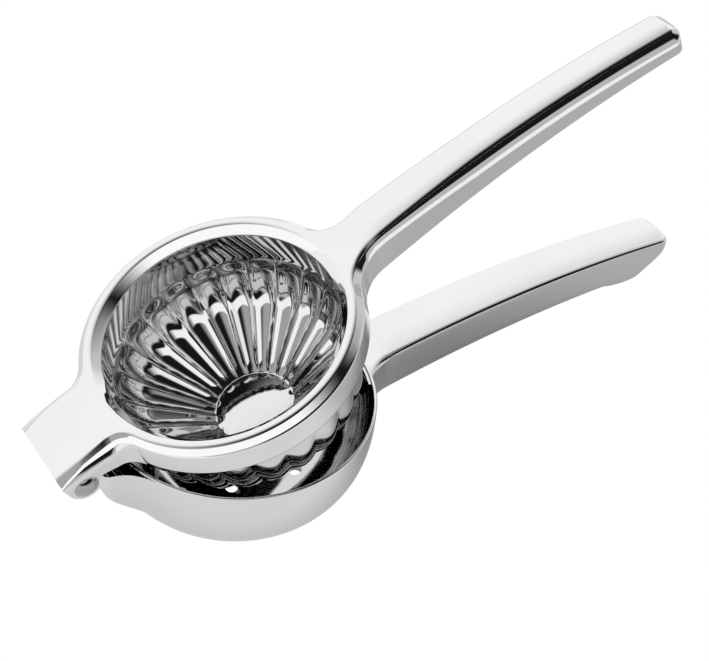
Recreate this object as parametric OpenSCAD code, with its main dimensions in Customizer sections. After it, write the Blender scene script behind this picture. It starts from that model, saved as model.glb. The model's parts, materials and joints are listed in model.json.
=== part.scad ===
// Hinged lemon squeezer: two hollow-handled steel jaws on one riveted hinge.
// The fluted press cup of the upper jaw closes into the strainer bowl of the lower jaw.
// Lengths are in millimetres. The origin is the centre of the bowl's flat base, +X runs
// along the lower handle to its tip, and +Z is up, square to the bowl's rim.

/* [Jaws] */
// Outer diameter of the press ring and of the strainer bowl
jaw_d = 82; // [76:0.5:88]
// Angle between the two jaws as stored
open_angle = 20; // [12:0.5:40]
// Gap left between the press ring and the bowl's rim when the jaws are shut
shut_gap = 0.5; // [0.3:0.1:1.5]

/* [Press ring] */
// Height of the ring, from its top land to its lower face
ring_h = 10.2; // [9:0.1:12]
// Width of the crowned land on top of the ring
land_w = 2.5; // [2:0.1:3.2]
// Rise of the land's crown
land_crown = 0.35; // [0.1:0.05:0.6]
// Width of the bevel outside the land
bevel_w = 2.05; // [1.4:0.05:2.4]
// Fall of the bevel
bevel_h = 1.9; // [1.2:0.1:2.6]
// Height of the plain bore wall above the press cup
band_h = 4.2; // [3:0.1:5.5]

/* [Press cup] */
// Depth of the cup below the ring's land
cup_depth = 38; // [34:0.5:40]
// Thickness of the cup's sheet
cup_wall = 0.9; // [0.7:0.05:1.2]
// Diameter of the cup's flat floor
cup_floor_d = 20; // [16:0.5:26]
// Number of flutes
flutes = 24; // [18:1:28]
// Depth of a flute at its middle
flute_depth = 1.5; // [0.8:0.1:2]
// Depth below the land at which the flutes begin
flute_start = 13.5; // [11:0.5:18]

/* [Strainer bowl] */
// Depth of the bowl, from its rim to its base
bowl_h = 32.5; // [31:0.5:38]
// Thickness of the bowl's sheet
bowl_wall = 1.1; // [0.9:0.05:1.5]
// Diameter of the bowl's flat base
base_d = 32; // [30:0.5:36]
// Squareness of the bowl's side, where 2 is an ellipse
bowl_power = 2.45; // [2.2:0.05:2.8]
// Diameter of a strainer hole
hole_d = 3.8; // [3:0.1:4.2]
// Radius of the inner ring of holes
hole_r_in = 8.8; // [7.5:0.1:10]
// Radius of the outer ring of holes
hole_r_out = 19; // [17:0.1:20]
// Number of holes in the inner ring
holes_in = 4; // [3:1:6]
// Number of holes in the outer ring
holes_out = 8; // [6:1:10]

/* [Hinge] */
// Distance from the jaws' centre to the hinge pin
hinge_reach = 53.4; // [51:0.1:56]
// Diameter of the hinge pin's shank
pin_d = 5; // [4:0.1:5.6]
// Diameter of the pin's domed heads
head_d = 7.2; // [6.6:0.1:8]
// Height of a domed head
head_h = 1.5; // [1:0.1:2]
// Width over the two ears
ears_w = 25; // [23:0.5:27]
// Thickness of an ear
ear_t = 1.9; // [1.5:0.1:2.3]
// Radius of an ear's rounded end
ear_r = 5.1; // [4.8:0.1:5.6]
// Thickness of the thrust washers
washer_t = 0.5; // [0.3:0.05:0.7]
// Diameter of the thrust washers
washer_d = 9.2; // [8.4:0.1:9.6]
// Thickness of the plate over the hinge
cover_t = 2; // [1.5:0.1:2.4]
// Width of the cover plate at the ring
cover_w_in = 19.6; // [18:0.2:21]
// Width of the cover plate at its free edge
cover_w_out = 26; // [25:0.2:28]
// Distance from the pin's axis to the plate's free edge
cover_over = 6; // [5.6:0.1:7]
// Fall of the plate from the ring to its free edge
cover_fall = 3.7; // [3:0.1:4.2]
// Thickness of the neck's walls
neck_t = 1.7; // [1.3:0.1:2.2]
// Radius of the knuckle around the pin
knuckle_r = 4.9; // [4.6:0.1:5.2]

/* [Handles] */
// Distance from the jaws' centre to the handles' tips
handle_reach = 159.5; // [146:0.5:170]
// Width of both handles next to the jaws
handle_w_root = 16.4; // [15:0.2:18]
// Width of both handles at the tips
handle_w_tip = 14; // [12:0.2:16]
// Thickness of the handle shells
shell_t = 1.2; // [0.9:0.05:1.6]
// Thickness of the plates that close the handles
close_t = 1; // [0.8:0.05:1.4]
// Upward bow of both handles between jaw and tip
handle_bow = 4; // [2:0.1:5]
// Height of the upper handle next to the ring
upper_h_root = 12.2; // [11:0.1:13.5]
// Height of the upper handle at its tip
upper_h_tip = 7.9; // [6.5:0.1:9]
// Height of the lower handle next to the bowl
lower_h_root = 14.7; // [13.5:0.1:16]
// Height of the lower handle at its tip
lower_h_tip = 12.2; // [11:0.1:13.5]
// Swell of the heel under the lower handle's tip
heel_swell = 1.4; // [0.4:0.1:2]
// Width of the upper handle's sloping shoulders
shoulder_w = 2.7; // [2:0.1:3.2]
// Radius of the lower handle's bottom edges
lower_edge_r = 1.8; // [1.2:0.1:2.6]
// Radius of the blend between a handle and its jaw, seen from above
root_blend = 11; // [8:0.5:14]

/* [Hidden] */

$fn = 96;
steel = "gainsboro";
bright = "whitesmoke";
satin = "silver";

jaw_r = jaw_d / 2;
bore_r = jaw_r - bevel_w - land_w;
fit = 0.05;
weld_gap = 0.03;
rim_z = bowl_h;
ring_rise = ring_h + shut_gap;
lip_r = bore_r + cup_wall;
rebate_r = lip_r + fit;

ear_y = ears_w / 2;
ear_in_y = ear_y - ear_t;
neck_y = ear_in_y - washer_t - 2 * fit;
pin_r = pin_d / 2;
spigot_r = pin_r * 0.6;
spigot_l = head_h * 0.6;
cover_x = -hinge_reach - cover_over;
ear_blend = 8;
neck_blend = 9;

// ---- places ----

// Carries the upper jaw from its own frame, with the ring's centre at the origin and the
// land at z = 0, to its stored place above the bowl.
module upper_jaw() {
    translate([-hinge_reach, 0, rim_z])
        rotate([0, -open_angle, 0])
            translate([hinge_reach, 0, ring_rise])
                children();
}

// Carries the lower jaw from its own frame, with the rim's centre at the origin.
module lower_jaw() {
    translate([0, 0, rim_z])
        children();
}

// Lays a cylinder along Y, centred on the hinge axis at the height z.
module across(r, l, z, y = 0) {
    translate([-hinge_reach, y, z])
        rotate([90, 0, 0])
            cylinder(r = r, h = l, center = true);
}

// Extrudes a side view, drawn in x and z, over the width w.
module side_extrude(w) {
    rotate([90, 0, 0])
        translate([0, 0, -w / 2])
            linear_extrude(height = w)
                children();
}

// ---- plan of a lug that grows out of a round jaw ----

// Points of one side of a lug of half width h on a jaw of radius r, with a blend of radius
// b, from the jaw to x = -reach. The y values are positive.
function lug_side(r, h, b, reach) =
    let (
        cx = -sqrt(pow(r + b, 2) - pow(h + b, 2)),
        cy = h + b,
        a0 = atan2(-cy, -cx),
        a1 = -90,
        n = 10
    )
    concat(
        [for (i = [0:n]) let (a = a0 + (a1 - a0) * i / n) [cx + b * cos(a), cy + b * sin(a)]],
        [[-reach, h]]
    );

// The whole lug, closed by a chord inside the jaw.
module lug_plan(r, h, b, reach) {
    side = lug_side(r, h, b, reach);
    n = len(side);
    polygon(concat(side, [for (i = [n - 1:-1:0]) [side[i][0], -side[i][1]]]));
}

// ---- press ring, cover plate and ears ----

function arc_pts(x0, x1, y0, rise, n) =
    [for (i = [0:n]) let (t = i / n) [x0 + (x1 - x0) * t, y0 + rise * 4 * t * (1 - t)]];

module ring_section() {
    polygon(concat(
        arc_pts(bore_r, bore_r + land_w, 0, land_crown, 8),
        [
            [jaw_r, -bevel_h],
            [jaw_r, -ring_h],
            [rebate_r, -ring_h],
            [rebate_r, -band_h],
            [bore_r, -band_h]
        ]
    ));
}

// The ring's outer form as one solid, used to cut what is welded to it.
module ring_envelope() {
    g = weld_gap;
    rotate_extrude()
        polygon([[0, -ring_h - 1], [jaw_r + g, -ring_h - 1], [jaw_r + g, -bevel_h + g],
            [bore_r + land_w + g, g], [bore_r + land_w + g, land_crown + g],
            [0, land_crown + g]]);
}

cover_x_in = -sqrt(pow(jaw_r, 2) - pow(cover_w_in / 2, 2));
cover_z_in = -0.9;
cover_z_out = cover_z_in - cover_fall;

module cover_plan() {
    bow = 0.6;
    polygon(concat(
        [[-bore_r + 1, cover_w_in / 2]],
        [for (i = [0:8]) let (t = i / 4 - 1) [cover_x + bow * t * t, -t * cover_w_out / 2]],
        [[-bore_r + 1, -cover_w_in / 2]]
    ));
}

// Side view of the plate over the hinge, between its top face and its under face.
module cover_side() {
    crown = 0.5;
    top = arc_pts(-jaw_r - 0.3, cover_x - 0.3, cover_z_in, crown, 6);
    drop = [for (p = top) [p[0], p[1] - cover_fall * (p[0] + jaw_r) / (cover_x + jaw_r)]];
    n = len(drop);
    polygon(concat([[-rebate_r - 0.6, 0]], drop,
        [for (i = [n - 1:-1:0]) [drop[i][0], drop[i][1] - cover_t]],
        [[-rebate_r - 0.6, cover_z_in - cover_t]]));
}

// Side view of an ear: it hangs from the cover plate, and its lower end is round the pin.
module ear_side() {
    hull() {
        translate([-hinge_reach, -ring_rise])
            circle(r = ear_r);
        polygon([
            [cover_x + 0.8, cover_z_out - cover_t / 2],
            [cover_x + 0.8, cover_z_out - cover_t],
            [-hinge_reach + ear_r, cover_z_out]
        ]);
    }
    polygon([
        [cover_x + 0.8, cover_z_out - cover_t / 2],
        [-jaw_r + 3, cover_z_in - bevel_h],
        [-jaw_r + 3, -ring_h],
        [-hinge_reach, -ring_h]
    ]);
}

module ears() {
    difference() {
        intersection() {
            translate([0, 0, -ring_rise - ear_r])
                linear_extrude(height = ring_rise + ear_r)
                    lug_plan(jaw_r, ear_y, ear_blend, -cover_x);
            side_extrude(ears_w * 2)
                ear_side();
        }
        translate([cover_x - 1, -ear_in_y, -ring_rise - ear_r - 1])
            cube([-cover_x + 1 - jaw_r + 2, 2 * ear_in_y, ring_rise + ear_r + 1]);
        cylinder(r = jaw_r - 0.6, h = 4 * ring_h, center = true);
        across(pin_r + fit / 2, ears_w * 2, -ring_rise);
    }
}

module press_frame() {
    color(steel)
        upper_jaw() {
            rotate_extrude()
                ring_section();
            intersection() {
                translate([0, 0, -ring_h])
                    linear_extrude(height = ring_h + 1)
                        cover_plan();
                side_extrude(cover_w_out * 2)
                    cover_side();
            }
            ears();
        }
}

// ---- fluted press cup ----

cup_steps = 11;
cup_a = bore_r;
cup_b = (cup_depth - band_h) / sqrt(1 - pow(cup_floor_d / 2 / bore_r, 2));
cup_end = acos(cup_floor_d / 2 / bore_r);
flute_from = asin((flute_start - band_h) / cup_b);
per_flute = 4;
around = flutes * per_flute;

// How much of the flute's depth is reached at the angle a down the cup's side.
function flute_share(a) =
    let (t = max(0, min(1, (a - flute_from) / 12)), u = max(0, min(1, (cup_end + 6 - a) / 14)))
    t * t * (3 - 2 * t) * u;

// The flutes are pressed outwards and meet in ridges.
function flute_out(a, q) = flute_depth * flute_share(a) * (abs(cos(q * flutes / 2)) - 0.3);

function cup_point(a, q, skin) =
    let (
        r = (cup_a + skin) * cos(a) + flute_out(a, q) * cos(a),
        z = -band_h - (cup_b + skin) * sin(a) - flute_out(a, q) * sin(a)
    )
    [r * cos(q), r * sin(q), z];

function cup_ring(i, skin, floor_z) =
    let (a = cup_end * i / cup_steps)
    [for (k = [0:around - 1])
        let (q = 360 * k / around, p = cup_point(a, q, skin))
        i == cup_steps ? [p[0], p[1], floor_z] : [p[0], p[1], max(p[2], floor_z + 0.3)]];

// Faces between two rings of points that start at the indices s and e.
function band_faces(s, e, n) =
    [for (k = [0:n - 1]) each [
        [s + k, s + (k + 1) % n, e + k],
        [s + (k + 1) % n, e + (k + 1) % n, e + k]
    ]];

module press_cup() {
    n = around;
    floor_in = -cup_depth;
    inner = [for (i = [0:cup_steps]) each cup_ring(i, 0, floor_in)];
    outer = [for (i = [0:cup_steps]) each cup_ring(i, cup_wall, floor_in - cup_wall)];
    m = len(inner);
    color(bright)
        upper_jaw()
            polyhedron(
                points = concat(inner, outer),
                faces = concat(
                    [for (i = [0:cup_steps - 1]) each band_faces((i + 1) * n, i * n, n)],
                    [for (i = [0:cup_steps - 1]) each band_faces(m + i * n, m + (i + 1) * n, n)],
                    band_faces(0, m, n),
                    [[for (k = [n - 1:-1:0]) cup_steps * n + k]],
                    [[for (k = [0:n - 1]) m + cup_steps * n + k]]
                )
            );
}

// ---- strainer bowl ----

bowl_steps = 16;
bowl_band = 2;
hole_turn_in = -31;
hole_turn_out = -36.6;

// Half section of the bowl's skin, set in by the distance skin, from rim to base.
function bowl_curve(skin) =
    let (rb = base_d / 2, ra = jaw_r - skin, hb = bowl_h - skin - bowl_band, p = 2 / bowl_power)
    concat(
        [[ra, 0]],
        [for (i = [0:bowl_steps]) let (a = 90 * i / bowl_steps)
            [rb + (ra - rb) * pow(cos(a), p), -bowl_band - hb * pow(sin(a), p)]]
    );

// The bowl's outer form as one solid, used to cut what is welded to it.
module bowl_envelope() {
    rotate_extrude()
        polygon(concat([[0, weld_gap], [jaw_r + weld_gap, weld_gap]], bowl_curve(-weld_gap),
            [[0, -bowl_h - weld_gap]]));
}

module hole_ring(n, r, turn) {
    for (i = [0:n - 1])
        rotate([0, 0, turn + 360 * i / n])
            translate([r, 0, -bowl_h - 1])
                cylinder(d = hole_d, h = bowl_h / 2, $fn = 32);
}

module strainer_holes() {
    hole_ring(holes_in, hole_r_in, hole_turn_in);
    hole_ring(holes_out, hole_r_out, hole_turn_out);
}

module strainer_bowl() {
    skin = bowl_curve(bowl_wall);
    n = len(skin);
    color(bright)
        lower_jaw()
            difference() {
                rotate_extrude()
                    polygon(concat(bowl_curve(0), [[0, -bowl_h], [0, -bowl_h + bowl_wall]],
                        [for (i = [n - 1:-1:0]) skin[i]]));
                strainer_holes();
            }
}

// ---- hinge neck with its knuckle ----

neck_top = -0.6;
neck_x = -hinge_reach + ear_r + 0.5;
neck_end = -20.6;
neck_steps = 9;
neck_front_y = ear_y - 0.5;

// Radius of the bowl's outside at the height z below the rim.
function bowl_r(z) =
    let (t = max(0, (-z - bowl_band) / (bowl_h - bowl_band)))
    base_d / 2 + (jaw_r - base_d / 2) * pow(1 - pow(t, bowl_power), 1 / bowl_power);

// Distance of the neck's front face from the jaws' centre at the height z.
function neck_front(z) =
    let (t = max(0, (-z - 5) / (-neck_end - 5)))
    -neck_x - (-neck_x - bowl_r(neck_end) + 0.6) * pow(t, 2);

// The neck's plan at one height: half of it runs from the front face to the bowl.
function neck_side(z, in) =
    let (
        r = bowl_r(z) - 3,
        f = neck_front(z) - in,
        t = min(1, -z / -neck_end),
        h = neck_front_y - in - 2 * t,
        b = neck_blend * (1 - 0.75 * t) + in,
        c = 1.5,
        n = 8,
        gap = max(0.6, f - c - sqrt(r * r - h * h)),
        k = min(b, gap)
    )
    concat(
        [[-f, h - c], [-f + c * 0.3, h - c * 0.3]],
        [for (i = [0:n]) let (a = i / n)
            [-f + c + (f - c - sqrt(r * r - pow(h + k, 2))) * a, h + k * pow(a, 2.6)]],
        [[-r * 0.55, h + k]]
    );

function neck_plan(z, in) =
    let (side = neck_side(z, in), n = len(side))
    concat(
        [for (p = side) [p[0], -p[1], z]],
        [for (i = [n - 1:-1:0]) [side[i][0], side[i][1], z]]
    );

// A solid through plans stacked from the top down.
module neck_block(in) {
    top = in > 0 ? 4 : neck_top;
    end = neck_end + in;
    loft([for (i = [0:neck_steps])
        let (z = top + (end - top) * i / neck_steps)
        [for (p = neck_plan(min(z, neck_top), in)) [p[0], p[1], z]]]);
}

module hinge_neck() {
    color(satin)
        lower_jaw()
            difference() {
                union() {
                    neck_block(0);
                    across(knuckle_r, 2 * neck_y, 0);
                    translate([-hinge_reach, -neck_y, -knuckle_r])
                        cube([neck_x + hinge_reach + 1, 2 * neck_y, knuckle_r * 1.6]);
                }
                difference() {
                    neck_block(neck_t);
                    translate([-hinge_reach - 1, -jaw_r, -knuckle_r])
                        cube([neck_x + hinge_reach + neck_t, jaw_d, 2 * knuckle_r]);
                }
                bowl_envelope();
                across(pin_r + fit, ears_w * 2, 0);
            }
}

// ---- hinge pin and its loose pieces, in the upper jaw's frame ----

// A dome of base radius r and height h, standing on z = 0.
module dome(r, h) {
    ball_r = (r * r + h * h) / (2 * h);
    intersection() {
        translate([0, 0, h - ball_r])
            sphere(r = ball_r);
        cylinder(r = r + 1, h = h + 1);
    }
}

module at_ear(side) {
    translate([-hinge_reach, side * ear_y, -ring_rise])
        rotate([-90 * side, 0, 0])
            children();
}

module hinge_pin() {
    color(bright)
        upper_jaw() {
            at_ear(-1)
                dome(head_d / 2, head_h);
            across(pin_r, ears_w, -ring_rise);
            at_ear(1)
                translate([0, 0, -1])
                    cylinder(r = spigot_r, h = spigot_l + 1);
        }
}

module rivet_cap() {
    color(bright)
        upper_jaw()
            at_ear(1)
                difference() {
                    dome(head_d / 2, head_h);
                    translate([0, 0, -1])
                        cylinder(r = spigot_r + fit / 2, h = spigot_l + 1 + fit);
                }
}

module washer(side) {
    color(satin)
        upper_jaw()
            difference() {
                across(washer_d / 2, washer_t, -ring_rise, side * (ear_in_y - fit - washer_t / 2));
                across(pin_r + fit / 2, ears_w, -ring_rise);
            }
}

module near_washer() {
    washer(-1);
}

module far_washer() {
    washer(1);
}

// ---- handles ----

// Both handles run along x from the jaw to the tip. They are drawn with the crowned side up,
// and the lower one is then turned over. A station is one cross-section.
tip_round = 3.6;
heel_l = 13;
body_steps = 11;
blend_steps = 6;
heel_steps = 5;
tip_steps = 5;
tip_x = handle_reach - tip_round;
heel_x = handle_reach - heel_l - 6;
blend_x = sqrt(pow(jaw_r + root_blend, 2) - pow(handle_w_root / 2 + root_blend, 2));
touch_x = blend_x * jaw_r / (jaw_r + root_blend);
root_x = touch_x - 3;

function station_x() = concat(
    [root_x, touch_x - 1],
    [for (i = [0:blend_steps]) touch_x + (blend_x - touch_x) * i / blend_steps],
    [for (i = [1:body_steps]) blend_x + (heel_x - blend_x) * i / body_steps],
    [for (i = [1:heel_steps]) heel_x + (tip_x - heel_x) * i / heel_steps],
    [for (i = [1:tip_steps]) tip_x + tip_round * sin(82 * i / tip_steps)]
);

// Share of the way from the jaw to the tip.
function along(x) = max(0, (x - jaw_r) / (handle_reach - jaw_r));

// Bow of both handles, nought at the jaw and at the tip.
function bow(x) = handle_bow * 4 * along(x) * (1 - min(1, along(x)));

// Half width: the straight taper, the blend that touches the jaw's circle at touch_x, and
// the bowed tip. Inside the jaw it draws in from the circle.
function half_w(x) =
    let (
        w = (handle_w_root + (handle_w_tip - handle_w_root) * along(x)) / 2,
        b = x < blend_x ? root_blend - sqrt(max(0, pow(root_blend, 2) - pow(blend_x - x, 2))) : 0,
        t = max(0, (x - tip_x) / tip_round)
    )
    x < touch_x
        ? sqrt(pow(jaw_r, 2) - x * x) - 0.6 * (touch_x - x)
        : (w + b) * pow(1 - pow(t, 3), 1 / 3);

// One cross-section, drawn up from the closed edge at height e to the crown at height c.
// Its shoulders are quarter ellipses of width sw and height sh.
function section(x, e, c, w, sw, sh) =
    let (
        a_w = min(sw, w * 0.7),
        a_h = min(sh, (c - e) * 0.7),
        drop = min(0.35, (c - e) * 0.1),
        n = 4
    )
    concat(
        [[x, -w, e]],
        [for (i = [0:n]) let (a = 90 * i / n)
            [x, -w + a_w * (1 - cos(a)), c - drop - a_h * (1 - sin(a))]],
        [[x, 0, c]],
        [for (i = [n:-1:0]) let (a = 90 * i / n)
            [x, w - a_w * (1 - cos(a)), c - drop - a_h * (1 - sin(a))]],
        [[x, w, e]]
    );

// End face of a loft whose sections are symmetric, made of strips between paired points.
function cap_faces(s, n) =
    [for (k = [0:floor((n - 1) / 2) - 1]) each
        k + 1 == n - 2 - k
            ? [[s + k + 1, s + k, s + n - 1 - k]]
            : [[s + k + 1, s + k, s + n - 1 - k], [s + n - 2 - k, s + k + 1, s + n - 1 - k]]];

function flipped(faces) = [for (f = faces) [f[2], f[1], f[0]]];

// A solid through a list of cross-sections, each with the same number of points.
module loft(stations) {
    n = len(stations[0]);
    m = len(stations);
    polyhedron(
        points = [for (s = stations) each s],
        faces = concat(
            cap_faces(0, n),
            [for (i = [0:m - 2]) each band_faces(i * n, (i + 1) * n, n)],
            flipped(cap_faces((m - 1) * n, n))
        )
    );
}

// A bar of rectangular section that follows the handle's edge line.
function strip(x, z0, z1, w) = [[x, -w, z0], [x, -w, z1], [x, w, z1], [x, w, z0]];

// Upper handle: the closed edge line and the crown line.
upper_edge_root = -9.8;
upper_edge_tip = -2.2;
upper_shoulder = 0.55;

function upper_edge(x) = upper_edge_root + (upper_edge_tip - upper_edge_root) * along(x) + bow(x);

function upper_crown(x) =
    let (
        h = upper_h_root + (upper_h_tip - upper_h_root) * along(x),
        root = x < blend_x ? pow((blend_x - x) / (blend_x - root_x), 2) : 0,
        full = upper_edge(x) + h,
        t = max(0, (x - tip_x) / tip_round)
    )
    full * (1 - root) + land_crown * root - tip_round * 0.6 * (1 - sqrt(1 - t * t));

// Lower handle, turned over: its closed edge is the face that looks at the upper handle.
lower_edge_root = 0.9;
lower_edge_tip = -2.3;

function lower_edge(x) = lower_edge_root + (lower_edge_tip - lower_edge_root) * along(x) - bow(x);

function lower_crown(x) =
    let (
        h = lower_h_root + (lower_h_tip - lower_h_root) * along(x),
        swell = heel_swell * max(0, 1 - pow((x - handle_reach + 17.5) / 9, 2)),
        t = max(0, (x - handle_reach + heel_l) / heel_l),
        least = close_t + 0.8
    )
    lower_edge(x) + least + (h + swell - least) * pow(1 - pow(t, 1.35), 1 / 1.35);

// The handles' outer sections and the hollows inside them.
function upper_section(x, in) =
    let (e = upper_edge(x), c = upper_crown(x) - in, h = c - e)
    section(x - in * 2, in > 0 ? e - 2 : e + close_t, c, half_w(x) - in, shoulder_w,
        h * upper_shoulder);

function lower_section(x, in) =
    let (e = lower_edge(x))
    section(x - in * 2, in > 0 ? e - 2 : e + close_t, lower_crown(x) - in, half_w(x) - in,
        lower_edge_r, lower_edge_r);

module upper_handle() {
    color(steel)
        upper_jaw()
            difference() {
                loft([for (x = station_x()) upper_section(x, 0)]);
                loft([for (x = station_x()) upper_section(x, shell_t)]);
                ring_envelope();
            }
}

module upper_handle_plate() {
    color(satin)
        upper_jaw()
            difference() {
                loft([for (x = station_x())
                    strip(x, upper_edge(x), upper_edge(x) + close_t, half_w(x))]);
                ring_envelope();
            }
}

module lower_handle() {
    color(steel)
        lower_jaw()
            difference() {
                mirror([0, 0, 1])
                    difference() {
                        loft([for (x = station_x()) lower_section(x, 0)]);
                        loft([for (x = station_x()) lower_section(x, shell_t)]);
                    }
                bowl_envelope();
            }
}

module lower_handle_plate() {
    color(satin)
        lower_jaw()
            difference() {
                mirror([0, 0, 1])
                    loft([for (x = station_x())
                        strip(x, lower_edge(x), lower_edge(x) + close_t, half_w(x))]);
                bowl_envelope();
            }
}

press_frame();
press_cup();
upper_handle();
upper_handle_plate();
strainer_bowl();
hinge_neck();
lower_handle();
lower_handle_plate();
hinge_pin();
rivet_cap();
near_washer();
far_washer();
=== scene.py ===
"""Looks of a hinged lemon squeezer in mirror-polished steel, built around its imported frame.

Each piece is modelled in millimetres in the frame of its own jaw, and is then carried to its
place in metres. In a jaw's frame the origin is the centre of its round end, X runs along the
handle, and z = 0 is the land of the press ring or the rim of the strainer bowl.
"""
import json
import logging
import math
from contextlib import contextmanager
from dataclasses import dataclass, field, replace
from enum import Enum
from typing import Callable, ClassVar, Iterator, Sequence

import bmesh
import bpy
from mathutils import Matrix, Vector

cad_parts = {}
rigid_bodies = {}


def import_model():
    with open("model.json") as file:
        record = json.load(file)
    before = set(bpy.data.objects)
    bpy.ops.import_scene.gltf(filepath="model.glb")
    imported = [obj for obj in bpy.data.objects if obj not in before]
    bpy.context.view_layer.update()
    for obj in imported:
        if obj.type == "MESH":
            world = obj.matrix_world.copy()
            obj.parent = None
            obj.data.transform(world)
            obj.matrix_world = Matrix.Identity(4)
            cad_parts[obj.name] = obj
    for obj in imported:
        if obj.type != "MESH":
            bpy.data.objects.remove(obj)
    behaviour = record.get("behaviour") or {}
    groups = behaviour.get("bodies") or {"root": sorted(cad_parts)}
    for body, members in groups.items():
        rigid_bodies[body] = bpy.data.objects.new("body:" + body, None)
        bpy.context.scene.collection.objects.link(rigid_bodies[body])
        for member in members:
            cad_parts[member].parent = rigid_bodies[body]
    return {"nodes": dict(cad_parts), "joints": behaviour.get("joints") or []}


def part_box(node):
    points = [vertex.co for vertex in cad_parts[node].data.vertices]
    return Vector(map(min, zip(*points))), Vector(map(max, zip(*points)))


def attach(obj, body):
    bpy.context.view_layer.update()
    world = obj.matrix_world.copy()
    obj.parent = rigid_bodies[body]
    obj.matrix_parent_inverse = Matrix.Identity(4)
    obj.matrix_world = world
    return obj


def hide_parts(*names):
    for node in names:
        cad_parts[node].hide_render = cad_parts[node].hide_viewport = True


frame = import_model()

LOG = logging.getLogger("squeezer")
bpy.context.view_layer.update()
MM = 0.001
SHARP_EDGE = math.radians(32)
SOFT_EDGE = math.radians(40)
MERGE_GAP = 0.0004

Point = tuple[float, float]
Place = tuple[float, float, float]


class Jaw(Enum):
    """The two bodies that turn on the hinge pin."""

    UPPER = "upper_jaw"
    LOWER = "lower_jaw"


class Slot(Enum):
    """The record's material slots."""

    POLISHED = "polished_steel"
    PLATE = "plate_steel"
    PIN = "pin_steel"
    WASHER = "washer_steel"


# ---- small sums ----


def mix(a: float, b: float, share: float) -> float:
    """Gives the value at a share of the way from a to b."""
    return a + (b - a) * share


def clamp(value: float) -> float:
    """Keeps a value between 0 and 1."""
    return max(0.0, min(1.0, value))


def ease(share: float) -> float:
    """Turns a straight share into one that starts and ends gently."""
    t = clamp(share)
    return t * t * (3 - 2 * t)


def spread(start: float, end: float, steps: int) -> list[float]:
    """Gives steps + 1 even values from start to end."""
    return [mix(start, end, i / steps) for i in range(steps + 1)]


def arc(centre: Point, radius: float, start: float, end: float, steps: int) -> list[Point]:
    """Gives points of an arc.

    Args:
        centre: Centre of the arc.
        radius: Radius of the arc.
        start: First angle, in degrees.
        end: Last angle, in degrees.
        steps: Number of chords.

    Returns:
        The points, from start to end.
    """
    angles = [math.radians(a) for a in spread(start, end, steps)]
    return [(centre[0] + radius * math.cos(a), centre[1] + radius * math.sin(a)) for a in angles]


# ---- the bench: what is done by hand to a mesh ----


def focus(piece: bpy.types.Object) -> None:
    """Leaves one object selected and active, and nothing else.

    Args:
        piece: The object.
    """
    for other in bpy.context.view_layer.objects:
        other.select_set(False)
    piece.select_set(True)
    bpy.context.view_layer.objects.active = piece


def put_down() -> None:
    """Leaves nothing selected."""
    for other in bpy.context.view_layer.objects:
        other.select_set(False)
    bpy.context.view_layer.objects.active = None


@contextmanager
def editing(piece: bpy.types.Object) -> Iterator[bmesh.types.BMesh]:
    """Opens edit mode on one piece.

    Args:
        piece: The mesh object.

    Yields:
        The mesh as it is being edited.
    """
    focus(piece)
    bpy.ops.object.mode_set(mode="EDIT")
    try:
        yield bmesh.from_edit_mesh(piece.data)
    finally:
        bpy.ops.object.mode_set(mode="OBJECT")


def latest(name: str) -> bpy.types.Object:
    """Names the primitive that was added last.

    Args:
        name: Name of the piece.

    Returns:
        The primitive.
    """
    piece = bpy.context.view_layer.objects.active
    piece.name = name
    piece.data.name = name
    return piece


def close_up(piece: bpy.types.Object) -> None:
    """Merges doubled points and turns all faces outwards.

    Args:
        piece: The mesh.
    """
    with editing(piece):
        bpy.ops.mesh.select_all(action="SELECT")
        bpy.ops.mesh.remove_doubles(threshold=MERGE_GAP)
        bpy.ops.mesh.normals_make_consistent(inside=False)


def turned(name: str, profile: Sequence[Point], around: int, endless: bool) -> bpy.types.Object:
    """Turns a half section about Z, as a spinner does.

    Args:
        name: Name of the piece.
        profile: Radius and height of each point of the half section.
        around: Points around the axis.
        endless: Whether the section's last point joins its first. If not, both ends close on
            the axis.

    Returns:
        The closed mesh.
    """
    put_down()
    radius, height = profile[0]
    bpy.ops.mesh.primitive_circle_add(vertices=around, radius=radius, location=(0, 0, 0))
    piece = latest(name)
    course = list(profile) + ([profile[0]] if endless else [])
    with editing(piece):
        bpy.ops.mesh.select_all(action="SELECT")
        bpy.ops.transform.translate(value=(0, 0, height))
        if not endless:
            close_pole()
        for (r_from, z_from), (r_to, z_to) in zip(course, course[1:]):
            bpy.ops.mesh.extrude_edges_move(
                TRANSFORM_OT_translate={"value": (0, 0, z_to - z_from)}
            )
            grow = r_to / r_from
            bpy.ops.transform.resize(value=(grow, grow, 1), center_override=(0, 0, z_to))
        if not endless:
            close_pole()
    close_up(piece)
    return piece


def close_pole() -> None:
    """Closes the selected loop with a face that stays selected only by its edge."""
    bpy.ops.mesh.edge_face_add()
    bpy.ops.mesh.select_mode(type="EDGE")
    bpy.ops.mesh.region_to_loop()
    bpy.ops.mesh.select_mode(type="VERT")


def draped(
    name: str, columns: int, rows: int, place: Callable[[int, int], Place]
) -> bpy.types.Object:
    """Lays a grid over a surface that a rule describes.

    Args:
        name: Name of the piece.
        columns: Faces along the grid.
        rows: Faces across the grid.
        place: Gives the place of the point at a column and a row.

    Returns:
        The grid, with each point in its place.
    """
    put_down()
    bpy.ops.mesh.primitive_grid_add(
        x_subdivisions=columns, y_subdivisions=rows, size=2, location=(0, 0, 0)
    )
    piece = latest(name)
    for vertex in piece.data.vertices:
        i = round((vertex.co.x + 1) / 2 * columns)
        j = round((vertex.co.y + 1) / 2 * rows)
        vertex.co = place(i, j)
    return piece


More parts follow.
